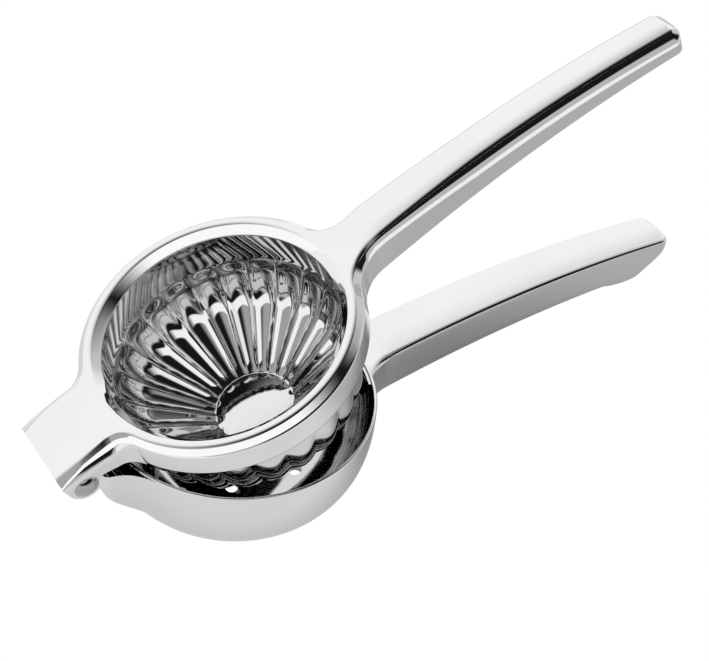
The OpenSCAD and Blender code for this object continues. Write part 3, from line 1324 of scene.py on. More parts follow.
@dataclass
class UpperJaw(JawWork):
    """The press ring with its hinge bracket, the fluted cup, the handle and the hinge pin.

    Attributes:
        ring_h: Height of the ring.
        land_w: Width of the crowned land.
        lip_w: Width of the bevel inside the land.
        bevel_w: Width of the bevel outside the land.
        crown: Rise of the land.
        band_h: Depth of the plain bore above the cup.
        cup_depth: Depth of the cup.
        cup_wall: Thickness of the cup's sheet.
        cone_slope: Slope of the cup's cone from the level, in degrees.
        cone_r: Radius at which the cone begins.
        floor_r: Radius of the cup's floor.
        floor_rise: Rise of the floor's middle.
        flutes: Number of flutes.
        flute_depth: Depth of a flute inside the cup.
        rib_height: Height of the flute's rib outside the cup.
        cup_power: Fullness of the cup's outer face, where 2 is an ellipse.
        flute_start: Depth at which the flutes begin.
        edge_z: Height of the handle's closed underside at the jaw.
        edge_rise: Rise of the underside from the jaw to the tip, without its bow.
        handle_h: Height of the handle at the jaw and at the tip.
        handle_crown: Rise of the handle's top face from its edge to its middle.
        shell_t: Thickness of the handle's shell.
    """

    ring_h: float = 10.2
    land_w: float = 2.5
    lip_w: float = 2.1
    bevel_w: float = 2.05
    crown: float = 0.35
    band_h: float = 4.2
    cup_depth: float = 39.5
    cup_wall: float = 0.9
    cone_slope: float = 38.0
    cone_r: float = 27.0
    floor_r: float = 11.8
    floor_rise: float = 0.6
    flutes: int = 24
    flute_depth: float = 1.4
    rib_height: float = 1.3
    cup_power: float = 2.45
    flute_start: float = 14.0
    edge_z: float = -9.8
    edge_rise: float = 7.6
    handle_h: tuple[float, float] = (12.2, 7.9)
    handle_crown: float = 0.35
    shell_t: float = 1.2

    JAW = Jaw.UPPER
    RING_AROUND = 360
    CUP_STEPS = 64
    FLUTE_STEPS = 18
    RIDGE_EDGE = math.radians(50)
    FLOOR_SHARES = (0.98, 0.85, 0.6, 0.3, 0.05)

    @property
    def bore_r(self) -> float:
        """Radius of the ring's bore."""
        return self.jaw_r - self.bevel_w - self.land_w

    @property
    def nose_r(self) -> float:
        """Radius of the ring's mouth, at the foot of the bevel inside the land."""
        return self.bore_r - self.lip_w

    @property
    def crown_r(self) -> float:
        """Radius of the land's highest line."""
        return self.jaw_r - RING_SHOULDER.points()[0][0]

    def ring_section(self) -> list[Point]:
        """Gives the ring's section, from its crown outwards and round to the bore.

        Returns:
            The closed section, as radius and height.
        """
        outside = [(self.jaw_r - d, self.crown - z) for d, z in RING_SHOULDER.points()]
        foot_r, lip, waist, play = 1.5, 0.5, 0.4, 0.05
        wall = [(self.jaw_r, -self.ring_h * waist)]
        foot = arc((self.jaw_r - foot_r, foot_r - self.ring_h), foot_r, 0, -90, 6)
        seat_r = self.bore_r + self.cup_wall + play
        seat = [(seat_r + lip, -self.ring_h), (seat_r, lip - self.ring_h),
                (seat_r, -self.band_h), (self.bore_r, -self.band_h)]
        bore = self.bore_section()
        start = bore[-1]
        land = [(mix(start[0], self.crown_r, t), mix(start[1], self.crown, 1 - (1 - t) ** 2))
                for t in spread(0, 1, 5)[1:-1]]
        return outside + wall + foot + seat + bore + land

    def bore_section(self) -> list[Point]:
        """Gives the section from the bore, over the bevel inside the land, to the land.

        Returns:
            The open section, as radius and height.
        """
        edge, bend, sink, slope, last_turn = 0.3, 0.5, 0.22, 45.0, 108.0
        brink = arc((self.bore_r + edge, self.crown - sink - edge), edge, 180 - slope, last_turn, 4)
        half = math.sqrt(0.5)
        low = brink[0][1] - (brink[0][0] - self.nose_r - bend * (1 - half)) - bend * half
        undercut = ((self.bore_r, 0.9), (self.nose_r + 0.35, 0.6), (self.nose_r, 0.2))
        bore = [(radius, low - drop) for radius, drop in undercut]
        turn = arc((self.nose_r + bend, low), bend, 180, 180 - slope, 5)
        rise = [tuple(mix(a, b, t) for a, b in zip(turn[-1], brink[0])) for t in (0.33, 0.67)]
        return bore + turn + rise + brink

    def build_frame(self) -> None:
        """Builds the ring and its hinge bracket as one casting."""
        ring = turned("press_ring", self.ring_section(), self.RING_AROUND, True)
        bracket = HingeBracket(self.jaw_r, self.crown_r, self.crown, self.ring_h)
        self.fit(joined(ring, bracket.build()), MIRROR, "press_frame")

    def cup_section(self) -> list[Point]:
        """Gives the cup's inner face without its flutes: a steep side that bends into a cone.

        Returns:
            The section, as radius and height, from the rim to the floor.
        """
        slope, steps, lean = math.tan(math.radians(self.cone_slope)), self.CUP_STEPS // 2, 1.2

        def cone(radius: float) -> Point:
            """Gives the cone's point at a radius."""
            return radius, (radius - self.floor_r) * slope - self.cup_depth

        top, bend, low = (self.bore_r, -self.band_h), cone(self.bore_r - lean), cone(self.cone_r)
        side = []
        for t in spread(0, 1, steps):
            upper = [mix(a, b, t) for a, b in zip(top, bend)]
            lower = [mix(a, b, t) for a, b in zip(bend, low)]
            side.append((mix(upper[0], lower[0], t), mix(upper[1], lower[1], t)))
        return side + [cone(radius) for radius in spread(self.cone_r, self.floor_r, steps)[1:]]

    def flute_share(self, depth: float, radius: float, outside: bool) -> float:
        """Gives how much of a flute's depth is reached at a place of the cup.

        Args:
            depth: Depth of the place in the cup.
            radius: Distance of the place from the axis.
            outside: Whether it is on the outer face, where the ribs start more gently.

        Returns:
            The share.
        """
        inner_run, outer_run, overlap, fade = 5.0, 14.0, 0.6, 3.0
        start, run = (self.ring_h, outer_run) if outside else (self.flute_start, inner_run)
        end = clamp((radius - self.floor_r + overlap) / fade)
        return ease((depth - start) / run) * end * min(1.0, radius / self.bore_r)

    def cup_outside(self) -> list[Point]:
        """Gives the cup's outer face without its flutes: a full bowl down to the flat floor.

        Returns:
            The section, as radius and height, from the rim to the floor.
        """
        border, power = 1.5, 2 / self.cup_power
        span = self.bore_r + self.cup_wall - self.floor_r - border
        height = self.cup_depth + self.cup_wall - self.band_h
        found = []
        for t in spread(0, 90, self.CUP_STEPS):
            cos, sin = max(0.0, math.cos(math.radians(t))), math.sin(math.radians(t))
            radius = self.floor_r + border + span * cos ** power
            found.append((radius, -self.band_h - height * sin ** power))
        return found

    def build_cup(self) -> None:
        """Builds the cup: a turned bowl whose flutes are pressed outwards on both faces."""
        inside, outside = self.cup_section(), self.cup_outside()
        (floor_r, floor_z), (base_r, base_z) = inside[-1], outside[-1]
        floor = [(floor_r * share, floor_z + self.floor_rise * (1 - share * share))
                 for share in self.FLOOR_SHARES]
        base = [(base_r * share, base_z) for share in self.FLOOR_SHARES]
        profile = base[::-1] + outside[::-1] + inside + floor
        cup = turned("fluted_cup", profile, self.flutes * self.FLUTE_STEPS, False)
        self.press_flutes(cup)
        self.fit(cup, CUP_STEEL, "press_cup", sharp=self.RIDGE_EDGE)

    def press_flutes(self, cup: bpy.types.Object) -> None:
        """Presses the flutes outwards, each deepest at its middle and meeting in ridges.

        Args:
            cup: The turned cup.
        """
        ridge, least = 0.10, 0.12
        inside = cup.vertex_groups.new(name="flutes")
        outside = cup.vertex_groups.new(name="ribs")
        for vertex in cup.data.vertices:
            x, y, z = vertex.co
            radius = math.hypot(x, y)
            away = (vertex.normal.x * x + vertex.normal.y * y) / radius - vertex.normal.z
            share = self.flute_share(-z, radius, away > 0)
            if not share:
                continue
            wave = math.cos(math.atan2(y, x) * self.flutes / 2)
            lobe = (math.hypot(wave, ridge) - ridge) / (math.hypot(1, ridge) - ridge)
            group = outside if away > 0 else inside
            group.add([vertex.index], share * mix(least, 1.0, lobe), "REPLACE")
        focus(cup)
        for group_name, strength in (("flutes", -self.flute_depth), ("ribs", self.rib_height)):
            press = cup.modifiers.new("press", "DISPLACE")
            press.direction = "NORMAL"
            press.mid_level = 0.0
            press.strength = strength
            press.vertex_group = group_name
            bpy.ops.object.modifier_apply(modifier=press.name)
        cup.vertex_groups.clear()

    def handle_edge(self, x: float) -> float:
        """Gives the height of the handle's closed underside at a place along it."""
        return self.edge_z + self.edge_rise * self.along(x) + self.bow(x)

    def handle_top(self, x: float) -> float:
        """Gives the height of the top face's edge at a place along the handle."""
        return self.handle_edge(x) + mix(*self.handle_h, self.along(x)) - self.handle_crown

    def build_handle(self) -> None:
        """Builds the handle's shell, whose bevels start where the ring's shoulder ends."""
        side = Shoulder(
            start=7.0,
            brow=Stretch(1.5, 33.0),
            turn=Stretch(0.03, 56.0),
            facet=Stretch(1.6, 58.0),
            step=Stretch(0.12, 63.0),
            band=Stretch(1.3, 65.5),
            roll=Stretch(0.12, 70.0),
            apron=Stretch(1.2, 73.0),
            foot=Stretch(0.15, 88.0),
        )
        collar = Shoulder(
            start=3.0,
            brow=Stretch(1.6, 30.0),
            turn=Stretch(0.03, 55.0),
            facet=Stretch(0.45, 57.0),
            step=Stretch(0.12, 63.0),
            band=Stretch(1.0, 66.5),
            roll=Stretch(0.12, 70.0),
            apron=Stretch(1.0, 73.0),
            foot=Stretch(0.15, 88.0),
        )
        end = Shoulder(
            start=7.0,
            brow=Stretch(0.2, 12.0),
            turn=Stretch(0.3, 34.0),
            facet=Stretch(1.3, 36.0),
            step=Stretch(0.2, 38.0),
            band=Stretch(1.0, 40.0),
            roll=Stretch(0.5, 60.0),
            apron=Stretch(0.4, 75.0),
            foot=Stretch(0.15, 87.0),
        )
        plan = HandlePlan(self.jaw_r)
        cap = Cap(
            top=self.handle_top,
            foot=self.handle_edge,
            crown=self.handle_crown,
            root=RING_SHOULDER,
            side=side,
            end=end,
            seam_r=self.crown_r,
            seam_z=self.crown,
            draft=3.0,
            collar=collar,
        )
        shell = HandleSkin(plan, cap).build("upper_handle_shell")
        facing_up(shell)
        walled(shell, self.shell_t)
        self.fit(shell, MIRROR, "upper_handle")

    def build_closing_plate(self) -> None:
        """Builds the sheet set into the rim under the handle."""
        recess, thickness, bend, play = 0.3, 1.0, 0.2, 0.03
        edge = rounded_edge(Stretch(bend, 15.0), Stretch(bend, 45.0), Stretch(bend, 90.0))
        cap = Cap(
            top=lambda x: -self.handle_edge(x) - recess,
            foot=lambda x: -self.handle_edge(x) - recess - thickness,
            crown=0.12,
            root=edge,
            side=edge,
            end=edge,
            seam_r=self.jaw_r + self.play,
            seam_z=-self.handle_edge(self.jaw_r) - recess,
            foot_r=0.05,
            margin=self.shell_t + play,
        )
        plate = HandleSkin(HandlePlan(self.jaw_r), cap).build("upper_handle_cover")
        sealed(plate)
        turned_over(plate)
        self.fit(plate, PLATE_STEEL, "upper_handle_plate")

    def build_pin(self) -> None:
        """Builds the headed pin and the cap riveted on its far end."""
        for name, side in (("hinge_pin", -1), ("rivet_cap", 1)):
            self.fit(rivet_head(f"{name}_head", side), PIN_STEEL, name)

    def build(self) -> list[bpy.types.Object]:
        """Builds all that the upper jaw is made of.

        Returns:
            The pieces.
        """
        self.build_frame()
        self.build_cup()
        self.build_handle()
        self.build_closing_plate()
        self.build_pin()
        return self.pieces


def rivet_head(name: str, side: int) -> bpy.types.Object:
    """Builds a domed rivet head on the hinge axis, with the half of the shank behind it.

    Args:
        name: Name of the piece.
        side: 1 for the far side and -1 for the near one.

    Returns:
        The piece, in the upper jaw's frame.
    """
    head_r, head_h, rim_h, bevel_w, bevel_h = 3.6, 1.9, 0.28, 0.15, 0.05
    shank_r, pole_r, ear_face, middle_gap = 2.5, 0.2, 12.5, 0.1
    ball = (head_r ** 2 + head_h ** 2) / (2 * head_h)
    end = math.degrees(math.asin(head_r / ball))
    dome = [(p[1], p[0] + head_h - ball) for p in arc((0, 0), ball, 1.5, end - 6, 12)]
    shank = ear_face - middle_gap if side > 0 else ear_face
    profile = dome + [(head_r, rim_h), (head_r, bevel_h), (head_r - bevel_w, 0.0),
                      (shank_r, 0.0), (shank_r, -shank), (pole_r, -shank)]
    piece = turned(name, profile, 96, False)
    place = Matrix.Translation((-STANCE.hinge_x, ear_face * side, -STANCE.ring_rise))
    piece.matrix_world = place @ Matrix.Rotation(math.radians(-90 * side), 4, "X")
    focus(piece)
    bpy.ops.object.transform_apply(location=True, rotation=True, scale=True)
    return piece


@dataclass(frozen=True)
class HingeBracket:
    """The cover plate over the hinge and the two ears under it, as one bent form.

    Attributes:
        ring_r: Outer radius of the ring.
        crown_r: Radius of the ring's highest line, where the bracket starts.
        crown_z: Height of that line.
        ring_h: Height of the ring.
        half_w: Half width over the bracket's top.
        end_w: Half width at the free end.
        blend_r: Radius of the blend with the ring.
        crease_x: Place of the crease between the ring and the plate.
        end_x: Place of the free end.
        crease_z: Height of the plate at the crease.
        fall: Fall of the plate from the crease to the free end.
        bulge: Rise of the plate's middle.
        draft: How far the ears draw in below the plate.
        draft_run: Height over which they draw in.
        ear_r: Radius of the ears' round ends.
        thickness: Thickness of the plate and the ears.
    """

    ring_r: float
    crown_r: float
    crown_z: float
    ring_h: float
    half_w: float = 13.9
    end_w: float = 13.2
    blend_r: float = 7.0
    crease_x: float = -41.3
    end_x: float = -59.3
    crease_z: float = -0.45
    fall: float = 3.7
    bulge: float = 0.5
    draft: float = 1.4
    draft_run: float = 7.5
    ear_r: float = 5.1
    thickness: float = 1.9

    CREASE = Shoulder(
        start=6.0,
        brow=Stretch(0.3, 20.0),
        turn=Stretch(0.3, 27.0),
        facet=Stretch(1.2, 30.0),
        step=Stretch(0.2, 43.0),
        band=Stretch(1.3, 43.0),
        roll=Stretch(0.2, 53.0),
        apron=Stretch(1.5, 56.5),
        foot=Stretch(0.4, 88.0),
    )
    MIDDLE = Shoulder(
        start=4.0,
        brow=Stretch(1.2, 22.0),
        turn=Stretch(0.3, 30.0),
        facet=Stretch(0.35, 34.0),
        step=Stretch(0.2, 43.0),
        band=Stretch(0.7, 43.0),
        roll=Stretch(0.2, 53.0),
        apron=Stretch(1.4, 56.5),
        foot=Stretch(0.4, 88.0),
    )
    FREE = Shoulder(
        start=3.0,
        brow=Stretch(4.0, 38.0),
        turn=Stretch(0.1, 40.0),
        facet=Stretch(0.1, 41.0),
        step=Stretch(0.1, 43.0),
        band=Stretch(0.1, 43.0),
        roll=Stretch(0.1, 57.0),
        apron=Stretch(0.25, 58.5),
        foot=Stretch(0.25, 88.0),
    )
    ACROSS = 24
    ARC_STEPS = 18
    CREASE_STEP = 14
    WALL_STEPS = 12
    SEAM_TURN = 1.0
    CREASE_TURN = 0.4

    @property
    def blend_x(self) -> float:
        """Place where the blend meets the bracket's side."""
        far = self.ring_r + self.blend_r
        return -math.sqrt(far * far - (self.half_w + self.blend_r) ** 2)

    def crease_turn(self) -> float:
        """Angle on the blend of the column that ends at the crease, in degrees."""
        out = self.blend_r + self.CREASE.points()[0][0]
        return -math.degrees(math.acos((self.crease_x - self.blend_x) / out))

    def side(self) -> list[Spot]:
        """Gives the far side's outline, from the ring to the free end.

        Returns:
            The spots. A share of 1 is the crease, 2 the middle and 3 the free end.
        """
        centre = (self.blend_x, self.half_w + self.blend_r)
        first = math.degrees(math.atan2(-centre[1], -centre[0]))
        crease = self.crease_turn()
        seamed, creased = first - self.SEAM_TURN, crease - self.CREASE_TURN
        turns = [first, seamed, *spread(seamed, crease, self.CREASE_STEP)[1:]]
        turns += [creased, *spread(creased, -90, self.ARC_STEPS - self.CREASE_STEP)[1:]]
        spots = []
        middle = (self.crease_x + self.end_x) / 2
        slack, jump = 0.1, 0.02
        for turn in turns:
            a = math.radians(turn)
            x = centre[0] + self.blend_r * math.cos(a)
            share = clamp((turn - first) / (crease - first))
            if turn < crease:
                share += (self.blend_x - x) / (self.blend_x - middle) * slack + jump
            spots.append(Spot(x, centre[1] + self.blend_r * math.sin(a), turn, share))
        ear_edge = -STANCE.hinge_x + self.ear_r
        places = spread(self.blend_x, ear_edge, 6)[1:]
        places += [-STANCE.hinge_x + self.ear_r * math.cos(math.radians(t))
                   for t in spread(0, 175, 20)[1:]]
        places += spread(places[-1], self.end_x, 3)[1:]
        straight_share = 1.05
        for x in places:
            t = (self.blend_x - x) / (self.blend_x - self.end_x)
            share = straight_share + (3 - straight_share) * t
            spots.append(Spot(x, mix(self.half_w, self.end_w, t), -90, share))
        return spots

    def shoulder(self, share: float) -> Shoulder:
        """Gives the shoulder at a share of the outline.

        Args:
            share: Share of the outline, from 0 at the ring to 3.

        Returns:
            The shoulder.
        """
        if share <= 1:
            return RING_SHOULDER.mixed(self.CREASE, ease(share))
        if share <= 2:
            return self.CREASE.mixed(self.MIDDLE, share - 1)
        return self.MIDDLE.mixed(self.FREE, share - 2)

    def top(self, x: float, y: float) -> float:
        """Gives the height of the top face.

        Args:
            x: Place along the jaw.
            y: Place across it.

        Returns:
            The height.
        """
        if x > self.crease_x:
            seam = -math.sqrt(max(0.0, self.crown_r ** 2 - y * y))
            t = clamp((seam - x) / max(0.01, seam - self.crease_x))
            return mix(self.crown_z, self.crease_z, t * t)
        t = (self.crease_x - x) / (self.crease_x - self.end_x)
        return self.crease_z - self.fall * t + 4 * self.bulge * t * (1 - t)

    def foot(self, x: float) -> float:
        """Gives the height of the ear's lower edge at a place along it.

        Args:
            x: Place along the jaw.

        Returns:
            The height.
        """
        ear_end, run_out = 0.999, 0.8
        from_pin = (x + STANCE.hinge_x) / self.ear_r
        if from_pin >= 1:
            return -self.ring_h
        if from_pin <= -ear_end:
            t = clamp((-STANCE.hinge_x - self.ear_r - x) / run_out)
            return mix(-STANCE.ring_rise, self.top(self.end_x, 0) - self.thickness, t)
        return -STANCE.ring_rise - self.ear_r * math.sqrt(1 - from_pin ** 2)

    def column(self, spot: Spot) -> list[Place]:
        """Gives the points of one column, from the plate's edge down to the ear's foot.

        Args:
            spot: The spot of the outline that it hangs from.

        Returns:
            The points.
        """
        section = self.shoulder(spot.share).points()
        x0, y0 = spot.moved_in(section[0][0])
        edge = self.top(x0, y0)
        found = [(*spot.moved_in(inset), edge - drop) for inset, drop in section]
        wall_top = found[-1][2]
        foot = self.foot(spot.x)
        for z in spread(wall_top, foot, self.WALL_STEPS)[1:]:
            drawn = self.draft * ease((wall_top - z) / self.draft_run) * ease(spot.share / 2)
            found.append((*spot.moved_in(drawn), z))
        return found

    def build(self) -> bpy.types.Object:
        """Builds the bracket.

        Returns:
            The closed mesh, whose root lies inside the ring.
        """
        side = self.side()
        columns = [self.column(s) for s in side]
        rows = len(columns[0]) - 1
        crease = self.CREASE_STEP + 1
        root_x, root_y, _ = columns[0][0]

        def far(i: int, j: int) -> Place:
            """Gives a point of the far ear."""
            return columns[i][j]

        def near(i: int, j: int) -> Place:
            """Gives a point of the near ear."""
            x, y, z = columns[i][j]
            return x, -y, z

        def plate(i: int, j: int) -> Place:
            """Gives a point of the cover plate.

            Args:
                i: Number of the cross line, from the ring.
                j: Number of the point on it, from the far side.

            Returns:
                The point.
            """
            t = 2 * j / self.ACROSS - 1
            x0, y0, z0 = columns[i][0]
            y = -y0 * t
            hold = 1 - ease(side[i].share)
            x = x0 - hold * (math.sqrt(self.crown_r ** 2 - (root_y * t) ** 2) + root_x)
            if i >= crease:
                return x, y, z0
            return x, y, self.top(x, y) + (z0 - self.top(x0, y0)) * abs(t)

        stations = len(side) - 1
        skin = joined(
            draped("bracket", stations, rows, far),
            draped("bracket_near", stations, rows, near),
            draped("bracket_plate", stations, self.ACROSS, plate),
        )
        close_up(skin)
        facing_up(skin)
        walled(skin, self.thickness)
        return skin


# ---- lower jaw ----


@dataclass
class LowerJaw(JawWork):
    """The strainer bowl, the neck that carries the hinge, and the handle.

    Attributes:
        bowl_h: Depth of the bowl.
        wall: Thickness of the bowl's sheet.
        base_r: Radius of the flat base.
        power: Squareness of the bowl's side.
        inner_base_r: Radius of the flat floor inside.
        inner_power: Squareness of the side inside.
        band: Height of the upright band under the rim.
        hole_r: Radius of a strainer hole.
        rings: Radius, number and turn of each ring of holes.
        top_z: Height of the handle's upper face at the jaw.
        top_rise: Rise of that face from the jaw to the tip, without its bow.
        handle_h: Height of the handle at the jaw and at the tip.
        heel_h: Swell of the heel under the tip.
        heel_back: Distance of the heel from the tip.
        heel_reach: Distance over which the heel swells.
        plate_t: Thickness of the plate that closes the handle.
        plate_gap: Gap under that plate.
    """

    bowl_h: float = STANCE.rim_z
    wall: float = 1.1
    base_r: float = 16.0
    power: float = 2.45
    inner_base_r: float = 10.0
    inner_power: float = 2.2
    band: float = 2.0
    hole_r: float = 1.9
    rings: tuple[tuple[float, int, float], ...] = ((8.8, 4, -31.0), (19.0, 8, -36.6))
    top_z: float = -0.9
    top_rise: float = 3.2
    handle_h: tuple[float, float] = (14.7, 12.2)
    heel_h: float = 1.4
    heel_back: float = 17.5
    heel_reach: float = 9.0
    plate_t: float = 1.1
    plate_gap: float = 0.04

    JAW = Jaw.LOWER
    AROUND = 288
    SIDE_STEPS = 48
    FINE_STEPS = 2000
    FLOOR_RADII = (9.2, 7.5, 5.5, 3.0, 0.4)
    BASE_RADII = (0.4, 6.0, 15.6)

    def skin_point(self, t: float, inset: float) -> Point:
        """Gives a point of the bowl's side.

        Args:
            t: Angle down the side, in degrees, from 0 under the band to 90 at the base.
            inset: Distance inside the outer face.

        Returns:
            The radius and the height.
        """
        base_r = self.inner_base_r if inset else self.base_r
        power = 2 / (self.inner_power if inset else self.power)
        span = self.jaw_r - inset - base_r
        depth = self.bowl_h - inset - self.band
        cos, sin = max(0.0, math.cos(math.radians(t))), math.sin(math.radians(t))
        return base_r + span * cos ** power, -self.band - depth * sin ** power

    def side_points(self, inset: float) -> list[Point]:
        """Gives the bowl's side from under the band to the base, evenly spaced.

        Args:
            inset: Distance inside the outer face.

        Returns:
            The radius and the height of each point.
        """
        fine = [self.skin_point(t, inset) for t in spread(0, 90, self.FINE_STEPS)]
        run = [0.0]
        for a, b in zip(fine, fine[1:]):
            run.append(run[-1] + math.dist(a, b))
        found, at = [], 0
        for goal in spread(0, run[-1], self.SIDE_STEPS):
            while at < len(run) - 2 and run[at + 1] < goal:
                at += 1
            t = (goal - run[at]) / max(1e-9, run[at + 1] - run[at])
            (r_from, z_from), (r_to, z_to) = fine[at], fine[at + 1]
            found.append((mix(r_from, r_to, t), mix(z_from, z_to, t)))
        return found

    def build_bowl(self) -> None:
        """Builds the turned bowl with its rounded rim, and drills the strainer holes."""
        floor = [(r, self.wall - self.bowl_h) for r in self.FLOOR_RADII]
        inner, outer = self.side_points(self.wall), self.side_points(0)
        rim = arc((self.jaw_r - self.wall / 2, -self.wall / 2), self.wall / 2, 0, 180, 10)
        base = [(r, -self.bowl_h) for r in self.BASE_RADII]
        profile = base + outer[::-1] + rim + inner + floor
        bowl = turned("drilled_bowl", profile, self.AROUND, False)
        for radius, count, turn in self.rings:
            for i in range(count):
                a = math.radians(turn + 360 * i / count)
                put_down()
                bpy.ops.mesh.primitive_cylinder_add(
                    vertices=48, radius=self.hole_r, depth=self.bowl_h,
                    location=(radius * math.cos(a), radius * math.sin(a), -self.bowl_h))
                drilled(bowl, latest("hole_drill"))
        smoothed(bowl)
        MIRROR.dress(bowl)
        self.paint_bowl_shade(bowl)
        self.pieces.append(seat(bowl, self.JAW, MIRROR.slot, "strainer_bowl"))

    def paint_bowl_shade(self, bowl: bpy.types.Object) -> None:
        """Paints shade on the bowl's inner faces and the walls of its holes, with a darker copy of
        its steel.

        Args:
            bowl: The bowl, in its jaw's frame.
        """
        skin, base_skin = 0.3, 0.2
        bowl.data.materials.append(PAINTED_SHADE_BOWL_STEEL.material())
        for face in bowl.data.polygons:
            x, y, z = face.center
            within = math.hypot(x, y) < self.outer_r(z) - skin
            between = base_skin - self.bowl_h < z < -self.wall
            face.material_index = int(within and between)

    def outer_r(self, z: float) -> float:
        """Gives the bowl's outer radius at a height below the rim."""
        t = clamp((-z - self.band) / (self.bowl_h - self.band))
        return self.base_r + (self.jaw_r - self.base_r) * (1 - t ** self.power) ** (1 / self.power)

    def build_neck(self) -> None:
        """Builds the neck that grows out of the bowl, with the knuckle round the pin."""
        self.fit(HingeNeck(self.outer_r).build(), MIRROR, "hinge_neck")

    def handle_top(self, x: float) -> float:
        """Gives the height of the handle's upper face at a place along it."""
        return self.top_z + self.top_rise * self.along(x) + self.bow(x)

    def handle_foot(self, x: float) -> float:
        """Gives the height of the handle's underside at a place along it.

        Args:
            x: Place along the jaw.

        Returns:
            The height.
        """
        tip_h, tip_run, squareness = 1.8, 13.0, 1.35
        from_heel = (x - STANCE.reach + self.heel_back) / self.heel_reach
        swell = self.heel_h * max(0.0, 1 - from_heel ** 2)
        height = mix(*self.handle_h, self.along(x)) + swell - tip_h
        t = clamp((x - STANCE.reach + tip_run) / tip_run)
        return self.handle_top(x) - tip_h - height * (1 - t ** squareness) ** (1 / squareness)

    def build_handle(self) -> None:
        """Builds the handle's trough-shaped shell."""
        lip = rounded_edge(Stretch(0.6, 2.0), Stretch(0.1, 30.0), Stretch(0.12, 90.0))
        cap = Cap(
            top=lambda x: self.handle_top(x) - self.plate_t - self.plate_gap,
            foot=self.handle_foot,
            crown=0.0,
            root=lip,
            side=lip,
            end=lip,
            seam_r=self.jaw_r + self.play,
            seam_z=self.handle_top(self.jaw_r) - self.plate_t - self.plate_gap,
            foot_r=1.8,
        )
        shell = HandleSkin(HandlePlan(self.jaw_r), cap).build("lower_handle_shell")
        sealed(shell)
        self.fit(shell, MIRROR, "lower_handle")

    def build_closing_plate(self) -> None:
        """Builds the pillowed plate that closes the top of the handle."""
        edge = Shoulder(
            start=4.0,
            brow=Stretch(1.0, 12.0),
            turn=Stretch(0.2, 50.0),
            facet=Stretch(0.6, 58.0),
            step=Stretch(0.08, 68.0),
            band=Stretch(0.06, 70.0),
            roll=Stretch(0.06, 77.0),
            apron=Stretch(0.28, 80.0),
            foot=Stretch(0.06, 88.0),
        )
        drop, least_wall = edge.points()[-1][1], 0.05
        cap = Cap(
            top=self.handle_top,
            foot=lambda x: self.handle_top(x) - max(self.plate_t, drop + least_wall),
            crown=0.3,
            root=edge,
            side=edge,
            end=edge,
            seam_r=self.jaw_r + self.play,
            seam_z=self.handle_top(self.jaw_r),
            foot_r=0.03,
            margin=0.05,
        )
        plate = HandleSkin(HandlePlan(self.jaw_r), cap).build("lower_handle_cover")
        sealed(plate)
        self.fit(plate, PLATE_STEEL, "lower_handle_plate")

    def build(self) -> list[bpy.types.Object]:
        """Builds all that the lower jaw is made of.

        Returns:
            The pieces.
        """
        self.build_bowl()
        self.build_neck()
        self.build_handle()
        self.build_closing_plate()
        return self.pieces


